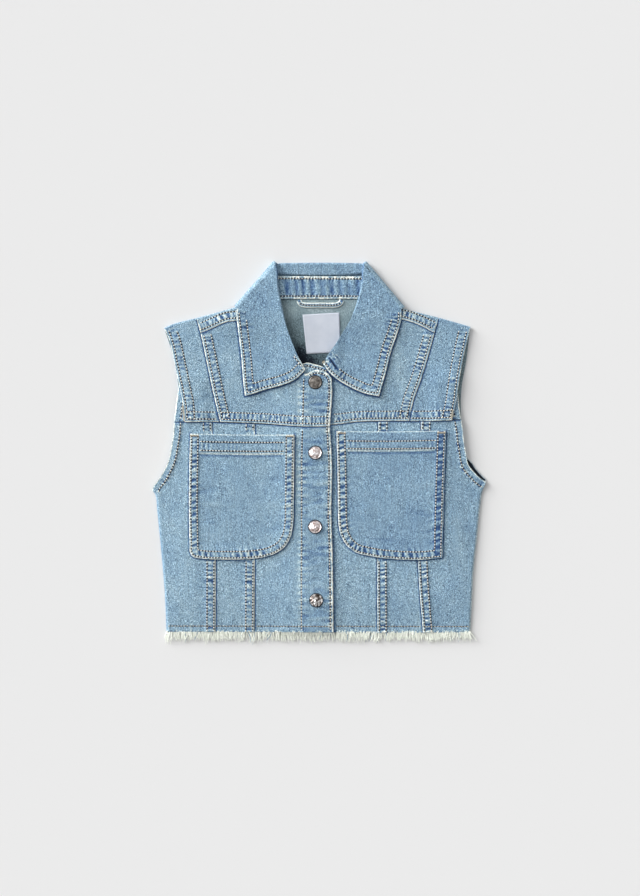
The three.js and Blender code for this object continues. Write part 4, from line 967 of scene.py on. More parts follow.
def make_front_yoke(side):
    name = f"front_yoke_{side['name']}"
    is_left = side is LEFT
    princess = curve(side["princess"])
    corner = side["strip_seam"][0 if is_left else -1]
    ridge = np.vstack([princess[princess[:, 1] < 117], corner])
    neck, strip = curve(side["neckline"]), curve(side["strip_seam"])
    chest = curve(side["chest"])
    if is_left:
        top = np.vstack([strip, neck[1:], curve(ARCH)[1:]])
        plan = patch(between(chest, 0, ridge[0][0], YOKE_FOLD[0][0]), top, ridge, YOKE_FOLD, (0, 1))
    else:
        top = np.vstack([neck, strip[1:]])
        hidden = [side["chest"][0], side["neckline"][0]]
        plan = patch(between(chest, 0, hidden[0][0], ridge[0][0]), top, hidden, ridge, (0, 1))

    def thick(x, y):
        open_part = 1 if is_left else smooth(RIGHT_FACING_X + 3, RIGHT_FACING_X + 6, x)
        return CLOTH + placket_thick(side, x) + band([ridge, chest], x, y) * open_part

    marks = [
        folded_edge(ridge, (3.0, 10.0), 4.6, 0.42, seed=91 + side["sign"]),
        folded_edge(chest, (3.0, 10.0), 4.2, 0.28, slant=0.0, seed=94 + side["sign"]),
        below_edge(strip), below_edge(collar_outline(side), reach=1.3),
    ]
    if is_left:
        marks += placket_marks()
    else:
        marks += [below_edge(placket_line(), reach=2.5, dark=1.0),
                  folded_edge(neck[neck[:, 0] < 12], (3.2,), 6.0, 0.25, seed=98, fade=2.0)]
    width = abs(top[-1][0] - top[0][0])
    necks = (np.array(side["neckline"][:-1])[:, 0] - top[0][0]) / width
    across = np.unique(np.concatenate([stops(width, GRID), necks[(necks > 0.01) & (necks < 0.99)]]))
    x, y = grid_of(plan, across, stops(90, GRID))
    obj = flat_piece(name, x, y, placket_base(side), thick, marks)


def raw_edge(x, y):
    """Where the cloth frays, its last threads are pale and dark by turns."""
    near = smooth(2.6, 0.4, y - HEM_Y + 0.6 * noise(x, 0 * x, 1.8, 231))
    return -0.3 * near * smooth(0.8, 0, y - HEM_Y), near * (0.4 + 2.2 * noise(x, y * 0.5, 1.1, 232))


def with_edges(side, marks):
    """Marks of a lower panel, joined by those at its chest seam, hem and pocket."""
    hem = [(-200, HEM_Y + 6.2), (200, HEM_Y + 5.6)]
    made = marks + [below_edge(curve(side["chest"])), row_only(hem, 7.0, 0.12, seed=101, width=3.0),
                    below_edge(pocket_outline(side), dark=1.8), raw_edge]
    return [calm_under_pocket(mark) for mark in made]


def lower_front(name, side, left_line, right_line, marks, raised, width):
    """A panel between two upright seams. raised holds the seams whose turnings lie under it."""
    chest = between(curve(side["chest"]), 0, left_line[-1][0], right_line[-1][0])
    plan = patch([left_line[0], right_line[0]], chest, left_line, right_line, (0, 1))

    def thick(x, y):
        high = band(raised, x, y) * (1 - under_pocket(x, y)) if raised else 0
        return CLOTH + placket_thick(side, x) + high

    x, y = grid_of(plan, stops(width, GRID), stops(PANEL_LENGTH, GRID))
    obj = flat_piece(name, x, y, placket_base(side), thick, with_edges(side, marks))


def calm_under_pocket(mark):
    """A mark that dies away where a pocket covers the cloth."""

    def calm(x, y):
        rise, shade = mark(x, y)
        return rise * (1 - under_pocket(x, y)), shade

    return calm


def upright_seam(side, seam):
    seed, pale = 111 + side["sign"], 1.1 if side is LEFT else 0.55
    return folded_edge(curve(side[seam]), (3.0, 9.5), 5.6, 0.42, slant=0.1, seed=seed, pale=pale)


def make_lower_fronts(side):
    outer_seam, inner_seam = upward(side["outer_seam"]), upward(side["inner_seam"])
    edge = curve(side["front_edge"])
    middle, centre = f"middle_panel_{side['name']}", f"centre_panel_{side['name']}"
    marks, raised = [upright_seam(side, "inner_seam"), below_edge(outer_seam)], [inner_seam]
    below = [below_edge(inner_seam)]
    if side is LEFT:
        lower_front(middle, side, outer_seam, inner_seam, marks, raised, 40)
        lower_front(centre, side, inner_seam, edge, below + placket_marks(), [], 77)
    else:
        lower_front(middle, side, inner_seam, outer_seam, marks, raised, 40)
        lower_front(centre, side, edge, inner_seam, below + [below_edge(placket_line(), 2.6, 1.0)], [], 75.5)
    make_side_panel(side)


TURN_ANGLES = np.radians(np.linspace(0, 90, 9))


def make_side_panel(side):
    """The side panel, turned down round the side's soft edge below the armhole."""
    name = f"side_panel_{side['name']}"
    s = side["sign"]
    seam = upward(side["outer_seam"])
    armhole = curve(side["armhole"])
    edge = np.vstack([armhole, curve(side["side_edge"])[1:]])[::-1]
    in_edge = edge - [s * SIDE_TURN, 0]
    plan = patch([seam[0], in_edge[0]], [seam[-1], in_edge[-1]], seam, in_edge, (0, 1))
    marks = with_edges(side, [upright_seam(side, "outer_seam"),
                              folded_edge(armhole, (6.6,), 4.6, 0.34, seed=121 + s, fade=3.5)])

    def thick(x, y):
        seams = band([seam], x, y) * (1 - under_pocket(x, y))
        return CLOTH + np.maximum(seams, band([armhole], x, y, 6.5) * smooth(-36, -26, y))

    x, y = grid_of(plan, stops(50, GRID, end=False), stops(PANEL_LENGTH, GRID))
    chest = between(curve(side["chest"]), 0, seam[-1][0], edge[-1][0])
    y = np.minimum(y, y_on(chest, x) - SEAM / 2)
    top, under, _ = layers(x, y, front_base, thick, marks)
    last_x, last_y = x[:, -1], y[:, -1]
    turn = smooth(-34, -44, last_y)
    height = top[:, -1]
    wide = (height - under[:, -1]) * (1 - turn) + CLOTH * turn
    outer, inner = [laid(x, y, top)[:, :-1]], [laid(x, y, under)[:, :-1]]
    for angle in TURN_ANGLES:
        ox = last_x + s * SIDE_TURN * math.sin(angle)
        oz = height - (height - SEAM) * (1 - math.cos(angle)) * turn
        if angle == TURN_ANGLES[-1]:
            oz = oz - 0.45 * (1 - turn)
        outer.append(laid(ox, last_y, oz)[:, None])
        ix, iz = ox - s * wide * np.sin(angle * turn), oz - wide * np.cos(angle * turn)
        inner.append(laid(ix, last_y, np.maximum(iz, SEAM))[:, None])
    outer, inner = np.concatenate(outer, 1), np.concatenate(inner, 1)
    x, y = outer[..., 0], outer[..., 1]
    _, shade = worked(marks, x, y)
    # Painted light and shade on the turned edge below the armhole: a little darker on the left and paler on
    # the right, against how the windows light the two sides.
    shade = shade + (0.3 + 0.5 * s) * smooth(2.2, 0.8, nearest(edge, x, y)[0]) * smooth(-32, -44, y)
    obj = shell(name, outer, inner, shade)


def front_top(x, y):
    """The plain upper face of the lower fronts, for what lies on them."""
    is_left = np.asarray(x) < 14
    folded = np.where(is_left, placket_thick(LEFT, x), 0)
    return np.where(is_left, left_base(x, y), front_base(x, y)) + CLOTH + folded


def pocket_outline(side):
    lines = POCKETS[side["name"]]
    left, bottom, right = (curve(lines[k]) for k in ("left", "bottom", "right"))
    return np.vstack([left[::-1], bottom[1:], right[1:]])


def make_pocket(side):
    name = f"pocket_{side['name']}"
    lines = {k: curve(v) for k, v in POCKETS[side["name"]].items()}
    plan = patch(lines["bottom"], lines["top"], lines["left"], lines["right"])
    outline = pocket_outline(side)

    def thick(x, y):
        from_top, _ = nearest(lines["top"], x, y)
        hem = BAND_RISE * (1 - smooth(POCKET_HEM, POCKET_HEM + 0.8, from_top))
        return CLOTH + np.maximum(band([outline], x, y, 8), hem)

    def hem_mark(x, y):
        d, run = nearest(lines["top"], x, y)
        rise, shade = -0.42 * bump_at(d, 0.5), 1.2 * bump_at(d, 1.0)
        inside = smooth(9, 12, nearest(outline, x, y)[0])
        # Each hem row's channel is drawn darker: painted shade.
        for r in POCKET_HEM_CHANNELS:
            channel = bump_at(d - r, 0.8) * inside
            rise, shade = rise - 0.3 * channel, shade - 0.25 * channel
        wave = np.cos(2 * math.pi * (run + 2 * noise(run, 0 * run, 13.0, 131)) / 4.4)
        core = bump_at(d - 13, 4.5) * inside * np.clip(0.6 + 0.6 * noise(run, d, 15.0, 132), 0, 1.2)
        shade = shade + core * (0.9 * np.clip(wave, 0, 1) - 1.2 * np.clip(-wave, 0, 1))
        # A pale line at the hem's lower fold, and painted shadow just below it, where the fold shades the
        # pocket.
        below = d - POCKET_HEM
        shade = shade + inside * (1.5 * bump_at(below, 0.8) - 0.9 * bump_at(below - 2.0, 1.1))
        return rise + 0.25 * wave * core, shade

    def right_edge_shade(x, y):
        """Painted shade: the right pocket's right edge is drawn darker, where it slopes away from the
        windows.
        """
        return 0 * x, -0.75 * smooth(11, 8, nearest(lines["right"], x, y)[0])

    marks = [folded_edge(outline, POCKET_ROWS, 6.4, 0.42, slant=0.25, seed=141 + side["sign"], fade=5.5,
                         blotch=1.0 if side is LEFT else 1.25), hem_mark]
    # The right pocket's right edge takes painted shade.
    if side is RIGHT:
        marks.append(right_edge_shade)
    x, y = grid_of(plan, *(stops(size, GRID) for size in POCKET_SIZE))
    obj = flat_piece(name, x, y, lambda px, py: front_top(px, py) + POCKET_GAP, thick, marks)
    area = plan_area(*grid_of(plan, *(stops(size, 5) for size in POCKET_SIZE)))


# The collar
LEAF = np.concatenate([np.linspace(0, 0.9, 38), [0.925, 0.95, 0.968, 0.982, 0.993, 1.0]])
ROLL_ANGLES = np.radians(np.linspace(180, 0, 12)[:-1])
LEGS = np.linspace(1, 0.12, 6)
TURNED = len(LEGS) + len(ROLL_ANGLES)
EASE = 8.0
LEAF_WIDTH = 49.0
END_SLIT = [(9.2, 93.6), (13, 88), (17, 82.6)]


def unit(v):
    v = np.asarray(v, float)
    return v / max(float(np.linalg.norm(v)), 1e-9)


def fall_row(points, normal, into):
    """One row across the fall: short leg, roll and long leg. points are the long leg's outer points."""
    normal, into = np.asarray(normal, float), np.asarray(into, float)
    centre = points[0] - normal * ROLL

    def row(radius, own):
        leg = [centre + into * SHORT_LEG * share - normal * radius for share in LEGS]
        turn = [centre - into * radius * math.sin(a) + normal * radius * math.cos(a) for a in ROLL_ANGLES]
        return np.vstack([leg, turn, own])

    return row(ROLL, points), row(ROLL - FALL, points - normal * FALL)


def leaf_plan(side):
    """A leaf's plan from the roll across and from its front end up, and the roll."""
    end = side["collar_end"]
    front = np.vstack([curve(end[:3]), curve(end[2:])[1:]])
    roll, edge = curve(side["roll"]), curve(side["collar_edge"])
    left = np.vstack([roll[:-1], side["crease"][0]])
    right = np.vstack([edge[:-1], side["crease"][1]])
    return patch(front, side["crease"], left, right), roll


def into_leaf(side, roll, plan, v):
    """The plan's direction from the roll into the leaf."""
    a, b = at(roll, max(0, v - 0.04)), at(roll, min(1, v + 0.04))
    tx, ty = unit(b - a)
    normal = np.array((-ty, tx) if side is LEFT else (ty, -tx))
    own = unit(plan(1.0, v) - plan(0.0, v))
    t = float(smooth(0.5, 1, v))
    return unit(normal * (1 - t) + own * t)


def leaf_marks(side):
    outline, front = collar_outline(side)[:-4], curve(side["collar_end"][:3])
    made = [
        folded_edge(outline, LEAF_ROWS, 4.9, 0.5, slant=0.05, seed=151 + side["sign"], fade=6.0, pale=1.5),
        folded_edge(front, (3.0,), 4.0, 0.15, seed=157 + side["sign"], fade=3.0,
                    pale=1.0 if side is LEFT else 0.2),
    ]
    return made + ([below_edge(END_SLIT, reach=1.0, dark=2.5)] if side is RIGHT else [])


def leaf_top(side, x, y, u, v):
    return collar_base(side, x, y) + ON_COLLAR_BASE + FALL + side["tip_lift"] * u ** 2 * (1 - v) ** 2


def leaf_rows(side):
    plan, roll = leaf_plan(side)
    marks = leaf_marks(side)
    rows, shades = [], []
    for v in np.append(stops(104, GRID, end=False), 1.0):
        into = into_leaf(side, roll, plan, v)
        xy = plan(LEAF, np.full(len(LEAF), v))
        fade = 1 - float(smooth(0.8, 1, v))
        rise, shade = worked(marks, xy[:, 0], xy[:, 1])
        xy = xy + into * (ROLL * np.exp(-LEAF * LEAF_WIDTH / EASE) * fade)[:, None]
        x, y = xy[:, 0], xy[:, 1]
        plain = leaf_top(side, x, y, LEAF, v)
        outer, inner = fall_row(laid(x, y, plain), (0, 0, 1), (*into, 0))
        z = plain + rise * smooth(0.0, 0.12, LEAF)
        outer[-len(LEAF):, 2] = z
        inner[-len(LEAF):, 2] = np.minimum(inner[-len(LEAF):, 2], z - 0.4)
        # The turned rows at the roll are drawn darker towards the leaf's top: painted shade against the light
        # the roll catches there.
        hidden = np.full(TURNED, 0.1 - 0.7 * float(smooth(0.75, 0.9, v)))
        rows.append((outer, inner))
        shades.append(np.concatenate([hidden, shade]))
    return rows, shades


def crease_rows(side):
    start, end = (np.array(p, float) for p in side["crease"])
    into = np.append(unit(end - start), 0)
    cx, cy = side["crease_normal"]
    axis = start + (end - start) * LEAF[:, None]
    rows, shades = [], []
    for angle in FOLD_ANGLES:
        normal = np.array((cx * math.sin(angle), cy * math.sin(angle), math.cos(angle)))
        radius = (collar_base(side, axis[:, 0], axis[:, 1]) + ON_COLLAR_BASE + FALL) / 2
        base = np.column_stack([axis, radius])
        rows.append(fall_row(base + normal * radius[:, None], normal, into))
        shades.append(np.full(len(LEAF) + TURNED, 0.25))
    return rows, shades


def back_fall_rows():
    fold = [LEFT["crease"][0], (-40, 187.5), (40, 187.5), RIGHT["crease"][0]]
    edge = np.vstack([LEFT["crease"][1], curve(BACK_FALL_EDGE)[1:-1], RIGHT["crease"][1]])
    plan = patch(fold, edge, LEFT["crease"], RIGHT["crease"])
    rows, shades = [], []
    for u in np.linspace(0, 1, 74):
        xy = plan(np.full(len(LEAF), u), LEAF)
        into = np.append(unit(xy[-1] - xy[0]), 0)
        rows.append(fall_row(np.column_stack([xy, np.zeros(len(LEAF))]), (0, 0, -1), into))
        turned = 0.10 * noise(np.full(TURNED, u * 90.0), np.arange(TURNED), 6.0, 161)
        shades.append(np.concatenate([turned, 0.15 * noise(xy[:, 0], xy[:, 1], 12.0, 162)]))
    return rows, shades


def make_collar_fall():
    groups = [leaf_rows(LEFT), crease_rows(LEFT), back_fall_rows(),
              tuple(x[::-1] for x in crease_rows(RIGHT)), tuple(x[::-1] for x in leaf_rows(RIGHT))]
    rows = [r for group in groups for r in group[0]]
    shade = np.array([s for group in groups for s in group[1]])
    outer, inner = np.array([r[0] for r in rows]), np.array([r[1] for r in rows])
    obj = shell("collar_fall", outer, inner, shade, inner_slot=0)


def make_stand_back():
    bottom, top = [(-46, BACK_NECK_Y), (46, BACK_NECK_Y)], [(-44, 176), (44, 175.6)]
    neck = [bottom[0], (0, BACK_NECK_Y - 0.2), bottom[1]]
    plan = patch(neck, top, [bottom[0], top[0]], [bottom[1], top[1]])

    def puckered(x, y):
        wave = np.cos(2 * math.pi * (x + 3.4 * noise(x, 0 * x, 14.0, 171) + 0.12 * (y - BACK_NECK_Y)) / 9.4)
        strength = np.clip(0.85 + 0.9 * noise(x, y, 9.0, 172), 0.1, 1.7)
        window = smooth(0, 5, y - BACK_NECK_Y) * (1 - 0.5 * smooth(17, 23, y - BACK_NECK_Y))
        shade = (0.5 * smooth(-0.2, 1, wave) - 0.7 * smooth(0.1, -1, wave)) * strength * window
        shade = shade * (0.8 + 0.6 * noise(x, y, 3.0, 173)) + 0.25 * noise(x, y, 2.2, 175) * window
        return 0.3 * wave * window, shade

    marks = [puckered, folded_edge(bottom, (2.9,), 4.0, 0.1, seed=174, fade=2.0, pale=1.8),
             folded_edge(top, (2.6,), 4.0, 0.1, seed=177, fade=2.0, pale=3.0)]
    x, y = grid_of(plan, stops(90, GRID), stops(23, GRID))
    obj = flat_piece("collar_stand_back", x, y, level(UNDER_COLLAR), level(STAND), marks)


def make_stand_front(side):
    """Under the leaf, from the neck seam to the fall's short leg; only its front end shows."""
    name = f"collar_stand_{side['name']}"
    plan, roll = leaf_plan(side)
    inner = [at(roll, v) + into_leaf(side, roll, plan, v) * (ROLL + SHORT_LEG + LEG_CLEAR)
             for v in (0.13, 0.25, 0.4, 0.55, 0.7, 0.82)]
    neck = np.array(side["neckline"], float)
    neck = neck[::-1][1:] if side is LEFT else neck[4:]
    x, y, _, _ = fold_centre(side, [side["shoulder"][-1]])
    outer = np.vstack([curve(neck), (x[0], y[0] - NECK_CLEAR)])
    ruled = patch(inner, outer, [inner[0], outer[0]], [inner[-1], outer[-1]])
    across, up = stops(80, HIDDEN_GRID), stops(20, HIDDEN_GRID)
    px, py = grid_of(ruled, across, up * (1 - NECK_CLEAR / 20))
    obj = flat_piece(name, px, py, lambda gx, gy: collar_base(side, gx, gy), level(STAND), [])
    plan_area(*grid_of(ruled, across, up))


# Strips of tape
def make_hanger_loop():
    wide = 5.0
    middle = curve([(-21.1, 151.8), (-19.5, 148.6), (-15.5, 147), (0, 146.8), (16, 147), (20.3, 148.8),
                    (21.9, 151.8)])
    share = np.linspace(0, 1, 72)
    centre = at(middle, share)
    step = at(middle, np.minimum(1, share + 0.01)) - at(middle, np.maximum(0, share - 0.01))
    step = step / np.linalg.norm(step, axis=1)[:, None]
    side_step = np.column_stack([-step[:, 1], step[:, 0]])
    ways = np.array([1, 0.86, 0.6, 0.3, 0, -0.3, -0.6, -0.86, -1])
    xy = centre[:, None, :] + side_step[:, None, :] * (ways * wide / 2)[None, :, None]
    x, y = xy[..., 0], np.minimum(xy[..., 1], BACK_NECK_Y - 0.4)
    base = back_top(x, y) + SEAM
    crown = 0.35 * (1 - ways ** 2) - 0.22 * bump_at(ways, 0.25) - 0.4 * np.abs(ways) ** 6
    top = base + LOOP + crown[None, :] - 0.2
    across = 2.6 * smooth(0.5, 0.9, np.abs(ways)) - 1.2 * bump_at(ways, 0.4)
    shade = np.broadcast_to(across, x.shape) + 0.3 * noise(x, y, 2.4, 181)
    obj = shell("hanger_loop", laid(x, y, top), laid(x, y, base), shade)
    return middle


def make_label():
    a, b, c, d = LABEL_CORNERS
    plan = patch([a, b], [d, c], [a, d], [b, c])
    x, y = grid_of(plan, stops(36, GRID), stops(41, GRID))
    base = back_top(x, y) + SEAM
    rise = 0.12 * noise(x, y, 9.0, 191) + 0.2 * bump_at(np.hypot(x - 21, y - 99), 6.0)
    edge = np.minimum(np.minimum(x - x[:, :1], x[:, -1:] - x), np.minimum(y - y[:1], y[-1:] - y))
    rise = rise - 0.45 * bump_at(edge, 0.6)
    top = base + LABEL * 0.8 + rise
    obj = shell("neck_label", laid(x, y, top), laid(x, y, base), 0 * x, materials=[TAPE, TAPE], slot="label")


# Sewing
class Ground:
    """The upper faces of some pieces, to lay small things on."""

    def __init__(self, *names):
        depsgraph = bpy.context.evaluated_depsgraph_get()
        self.trees = [BVHTree.FromObject(pieces[name], depsgraph) for name in names]

    def height(self, x, y, up=True):
        """The height of the top face in millimetres, or of the lowest face, and nan where there is none."""
        x, y = np.atleast_1d(x), np.atleast_1d(y)
        start, way = (0.05, -1) if up else (-0.05, 1)
        made = np.full(x.shape, np.nan)
        for index in np.ndindex(x.shape):
            origin = (x[index] * MM, y[index] * MM, start)
            hits = [tree.ray_cast(origin, (0, 0, way))[0] for tree in self.trees]
            found = [hit.z / MM for hit in hits if hit is not None]
            if found:
                made[index] = max(found) if up else min(found)
        return made


def tubes(name, paths, radius, sides, material, flat=1.0):
    """Many closed threads as one mesh, from paths of (count, steps, 3) in mm.

    radius is (steps,) or (count, steps), and flat is a thread's height over its width.
    """
    paths = np.asarray(paths, float)
    count, steps, _ = paths.shape
    radius = np.broadcast_to(np.asarray(radius, float), (count, steps))
    tangent = np.gradient(paths, axis=1)
    tangent /= np.linalg.norm(tangent, axis=2, keepdims=True) + 1e-9
    side = np.cross(tangent, (0, 0, 1.0))
    side /= np.linalg.norm(side, axis=2, keepdims=True) + 1e-9
    up = np.cross(side, tangent)
    angles = np.arange(sides) * 2 * math.pi / sides
    ring = side[:, :, None] * np.cos(angles)[:, None] + up[:, :, None] * np.sin(angles)[:, None] * flat
    points = paths[:, :, None] + ring * radius[:, :, None, None]
    ids = np.arange(count * steps * sides).reshape(count, steps, sides)
    following = np.roll(ids, -1, axis=2)
    quads = np.stack([ids[:, :-1], following[:, :-1], following[:, 1:], ids[:, 1:]], -1).reshape(-1, 4)
    ends = [ids[:, 0, ::-1], ids[:, -1]]
    return mesh_object(name, points.reshape(-1, 3), [quads, *ends], [material])


def beside(line, distance):
    """The line at a distance to the left of a line, without the loops that tight corners make."""
    line = np.asarray(line, float)
    line = at(line, np.linspace(0, 1, max(8, int(run_of(line)[-1] / 1.2))))
    step = np.gradient(line, axis=0)
    step /= np.linalg.norm(step, axis=1)[:, None] + 1e-9
    moved = line + np.column_stack([-step[:, 1], step[:, 0]]) * distance
    clear, _ = nearest(line, moved[:, 0], moved[:, 1])
    return moved[clear > abs(distance) - 0.12]


STITCH, STITCH_GAP = 1.5, 1.45
STITCH_ARCH = np.array([-0.2, 0.12, 0.22, 0.12, -0.2])
UNDER_SINK, HOLE_SINK = 0.55, 0.14  # what keeps the rows that face the table out of it
HOLE_SIZE = {"thread": 1.0, "hem_thread": 0.62}
SEWING_LOOKS = (  # kind, material, slot, size
    ("thread", THREAD, "threads", 1), ("hem_thread", HEM_THREAD, "threads", 0.85),
    ("bartack", BARTACK, "threads", 0.45), ("label_thread", LABEL_THREAD, "label", 0.45),
)
HEM_ROW_Y = (-174.0, -174.6)
PLACKET_STITCHES = [(-18.5, -179), (-18.4, -90), (-18, 2.5), (-16.8, 50), (-16.2, 76)]
POCKET_ROWS = (1.9, 8.2)
POCKET_HEM_ROWS = {"left": (7.8, 16.6), "right": (9.8, 17.4)}
LEAF_ROWS = (2.8, 9.6)
BARTACKS = {
    "left": {"sleeve": ((-135.6, 31), (-136.8, 46)),
             "pocket": [((-130, 16.4), (-121, 16.2)), ((-33, 15.8), (-26, 15.8))]},
    "right": {"sleeve": ((131.4, 33), (133, 43)),
              "pocket": [((17.5, 18.9), (26, 18.8)), ((117, 19.2), (125.5, 19.4))]},
}
sewn = {"thread": [], "hole": [], "hem_thread": [], "bartack": [], "label_thread": []}


def sew(line, ground, kind="thread", length=STITCH, gap=STITCH_GAP, up=True):
    """A row of stitches along a line, each dipping into the cloth at its ends, with needle holes between,
    drawn as dark beads of painted shade.
    """
    line = np.asarray(line, float)
    total = run_of(line)[-1]
    count = int(total // (length + gap))
    if count < 1:
        return
    pitch = total / count
    way = 1 if up else -1
    starts = (np.arange(count) + 0.5 * gap / pitch) * pitch
    xy = at(line, (starts[:, None] + np.linspace(0, pitch - gap, 5)[None, :]) / total)
    wander = 0.16 * noise(np.arange(count) * 3.1, np.full(count, total), 1.0, 201)
    xy = xy + wander[:, None, None]
    z = ground.height(xy[..., 0], xy[..., 1], up)
    flat = np.isfinite(z).all(axis=1)
    z = np.where(flat[:, None], z, 0)
    good = flat & (np.ptp(z, axis=1) < 1.0)
    paths = np.concatenate([xy, (z + way * (STITCH_ARCH - (0 if up else UNDER_SINK)))[..., None]], -1)
    sewn[kind].append(paths[good])
    if kind in HOLE_SIZE:
        ends = (paths[:-1, -1] + paths[1:, 0]) / 2
        ends[:, 2] = (z[:-1, -1] + z[1:, 0]) / 2 + (0 if up else HOLE_SINK)
        way_and_size = np.tile((way, HOLE_SIZE[kind]), (len(ends), 1))
        sewn["hole"].append(np.hstack([ends, way_and_size])[good[:-1] & good[1:]])


def bartack(start, end, ground, width=1.9, pitch=0.6):
    """A dense bar of cross threads."""
    start, end = np.array(start, float), np.array(end, float)
    along = unit(end - start)
    cross = np.array((-along[1], along[0]))
    count = int(np.linalg.norm(end - start) / pitch)
    middle = start + along * ((np.arange(count) + 0.5) * pitch)[:, None]
    xy = middle[:, None] + cross * width * np.array((-0.5, -0.25, 0, 0.25, 0.5))[None, :, None]
    z = ground.height(xy[..., 0], xy[..., 1])
    z = np.where(np.isfinite(z), z, np.nanmin(z)) + np.array([-0.05, 0.25, 0.35, 0.25, -0.05])
    sewn["bartack"].append(np.concatenate([xy, z[..., None]], -1))


def part_of(line, low=-1e9, high=1e9, left=-1e9, right=1e9):
    x, y = line[:, 0], line[:, 1]
    return line[(y > low) & (y < high) & (x > left) & (x < right)]


def sew_side(side):
    s = side["sign"]
    ground = {kind: Ground(f"{kind}_{side['name']}") for kind in (
        "front_yoke", "shoulder_panel", "side_panel", "middle_panel", "centre_panel", "pocket", "yoke_strip",
        "under_yoke")}
    princess, chest, sleeve, strip, armhole = (
        curve(side[k]) for k in ("princess", "chest", "sleeve_edge", "strip_seam", "armhole"))
    seam_x, middle_x = side["princess"][0][0], 12.5 if side is LEFT else 13.0
    for d in (3.0, 10.0):
        sew(part_of(beside(princess, s * d), 31 + d * 0.25, 117 + d * 0.2), ground["front_yoke"])
        for kind, stretch in (("front_yoke", (middle_x, seam_x)), ("shoulder_panel", (seam_x, s * 200))):
            sew(part_of(beside(chest, d), left=min(stretch), right=max(stretch)), ground[kind])
    for d in (3.0, 10.5):
        sew(part_of(beside(sleeve, s * d), 31, 122), ground["shoulder_panel"])
    for d in (3.0, 9.5):
        sew(beside(strip, d), ground["yoke_strip"])
    sew(beside(armhole, -s * 6.6), ground["side_panel"])
    sew(beside(curve(side["under_yoke"][:3]), s * 6.5), ground["under_yoke"])
    for line, kind in (("outer_seam", "side_panel"), ("inner_seam", "middle_panel")):
        for d in (1.9, 8.8):
            row = beside(curve(side[line]), s * d)
            sew(part_of(row, high=-108), ground[kind])
            sew(part_of(row, low=20), ground[kind])
    hem = np.column_stack([np.linspace(-170, 170, 120), np.linspace(*HEM_ROW_Y, 120)])
    for kind in ("side_panel", "middle_panel", "centre_panel"):
        edges = np.array(pieces[f"{kind}_{side['name']}"].bound_box)[:, 0] / MM
        low, high = edges.min() + 1, edges.max() - 1
        if kind == "centre_panel" and side is RIGHT:
            low = 15
        sew(part_of(hem, left=low, right=high), ground[kind], "hem_thread")
    outline, pocket_top = pocket_outline(side), curve(POCKETS[side["name"]]["top"])
    for d in POCKET_ROWS:
        sew(beside(outline, d), ground["pocket"])
    for d in POCKET_HEM_ROWS[side["name"]]:
        row = beside(pocket_top, -d)
        sew(part_of(row, left=row[0][0] + 9, right=row[-1][0] - 9), ground["pocket"])
    for start, end in BARTACKS[side["name"]]["pocket"]:
        bartack(start, end, ground["pocket"])
    bartack(*BARTACKS[side["name"]]["sleeve"], ground["shoulder_panel"])
    sew_leaf(side)


def sew_leaf(side):
    s = side["sign"]
    ground = Ground("collar_fall")
    for d in LEAF_ROWS:
        past_slit = END_SLIT[-1][0] + 1 if side is RIGHT and d == LEAF_ROWS[-1] else -200
        sew(part_of(beside(collar_outline(side), s * d), high=143 - d, left=past_slit), ground)
    if side is LEFT:
        sew(part_of(beside(curve(side["collar_end"][:3]), s * 3.0), low=84), ground)
    else:
        bartack((2.4, 88.9), (5.2, 90.8), ground)


def sew_placket():
    ground = Ground("centre_panel_left", "front_yoke_left")
    arch = np.vstack([placket_line(), curve(ARCH)[::-1][1:]])
    sew(part_of(beside(arch, 3.2), low=-179), ground)
    sew(part_of(curve(PLACKET_STITCHES), high=76), ground)
    sew(part_of(beside(curve(RIGHT["neckline"]), -3.2), left=-16, right=8), Ground("front_yoke_right"))


def sew_neck():
    for row in ([(-43, 173.5), (43, 173.1)], [(-45, 155.9), (45, 155.9)]):
        sew(row, Ground("collar_stand_back"), length=1.2, gap=1.75)
    sew(part_of(HANGER_MIDDLE, high=150.5), Ground("hanger_loop"), length=1.2, gap=1.5)
    a, b, c, d = (np.array(p) for p in LABEL_CORNERS)
    middle = (a + b + c + d) / 4
    corners = [p + unit(middle - p) * 2.0 for p in (a, b, c, d, a)]
    for start, end in zip(corners[:-1], corners[1:]):
        sew([start, end], Ground("neck_label"), "label_thread", 1.6, 0.8)


def sew_back():
    """The rows that face the table."""
    body, yoke = Ground("back_body"), Ground("back_yoke", "shoulder_panel_left", "shoulder_panel_right")
    sew([(-140, HEM_Y + 6), (140, HEM_Y + 6)], body, up=False)
    for d in (3.0, 9.5):
        sew([(-136, BACK_SEAM_Y + d), (136, BACK_SEAM_Y + d)], yoke, up=False)
    for row in ([(-74, 142.5), (74, 142.5)], [(-72, 149), (72, 149)]):
        sew(row, Ground("collar_fall"), up=False)


def make_sewing():
    for side in SIDES:
        sew_side(side)
    sew_placket()
    sew_neck()
    sew_back()
    for kind, material, slot, size in SEWING_LOOKS:
        radius = np.array([0.32, 0.46, 0.5, 0.46, 0.32]) * size
        keep(tubes(f"sewing_{kind}", np.concatenate(sewn[kind]), radius, 6, material), slot)
    holes = np.concatenate(sewn["hole"])
    ways = holes[:, 3:4]
    rise = np.array([-0.3, 0.1, 0.26])
    paths = holes[:, None, :3] + np.stack([0 * rise, 0 * rise, rise], -1)[None] * ways[:, None]
    paths[:, :, 0] += np.array([-0.002, 0, 0.002])
    # The needle holes and the slit are dark tubes of painted shade.
    keep(tubes("sewing_needle_holes", paths, np.outer(holes[:, 4], [0.95, 1.02, 0.9]), 7, HOLE_SHADE), "threads")
    keep(tubes("sewing_end_slit", [slit_path()], [0.15, 0.5, 0.62, 0.55, 0.15], 6, HOLE_SHADE), "threads")


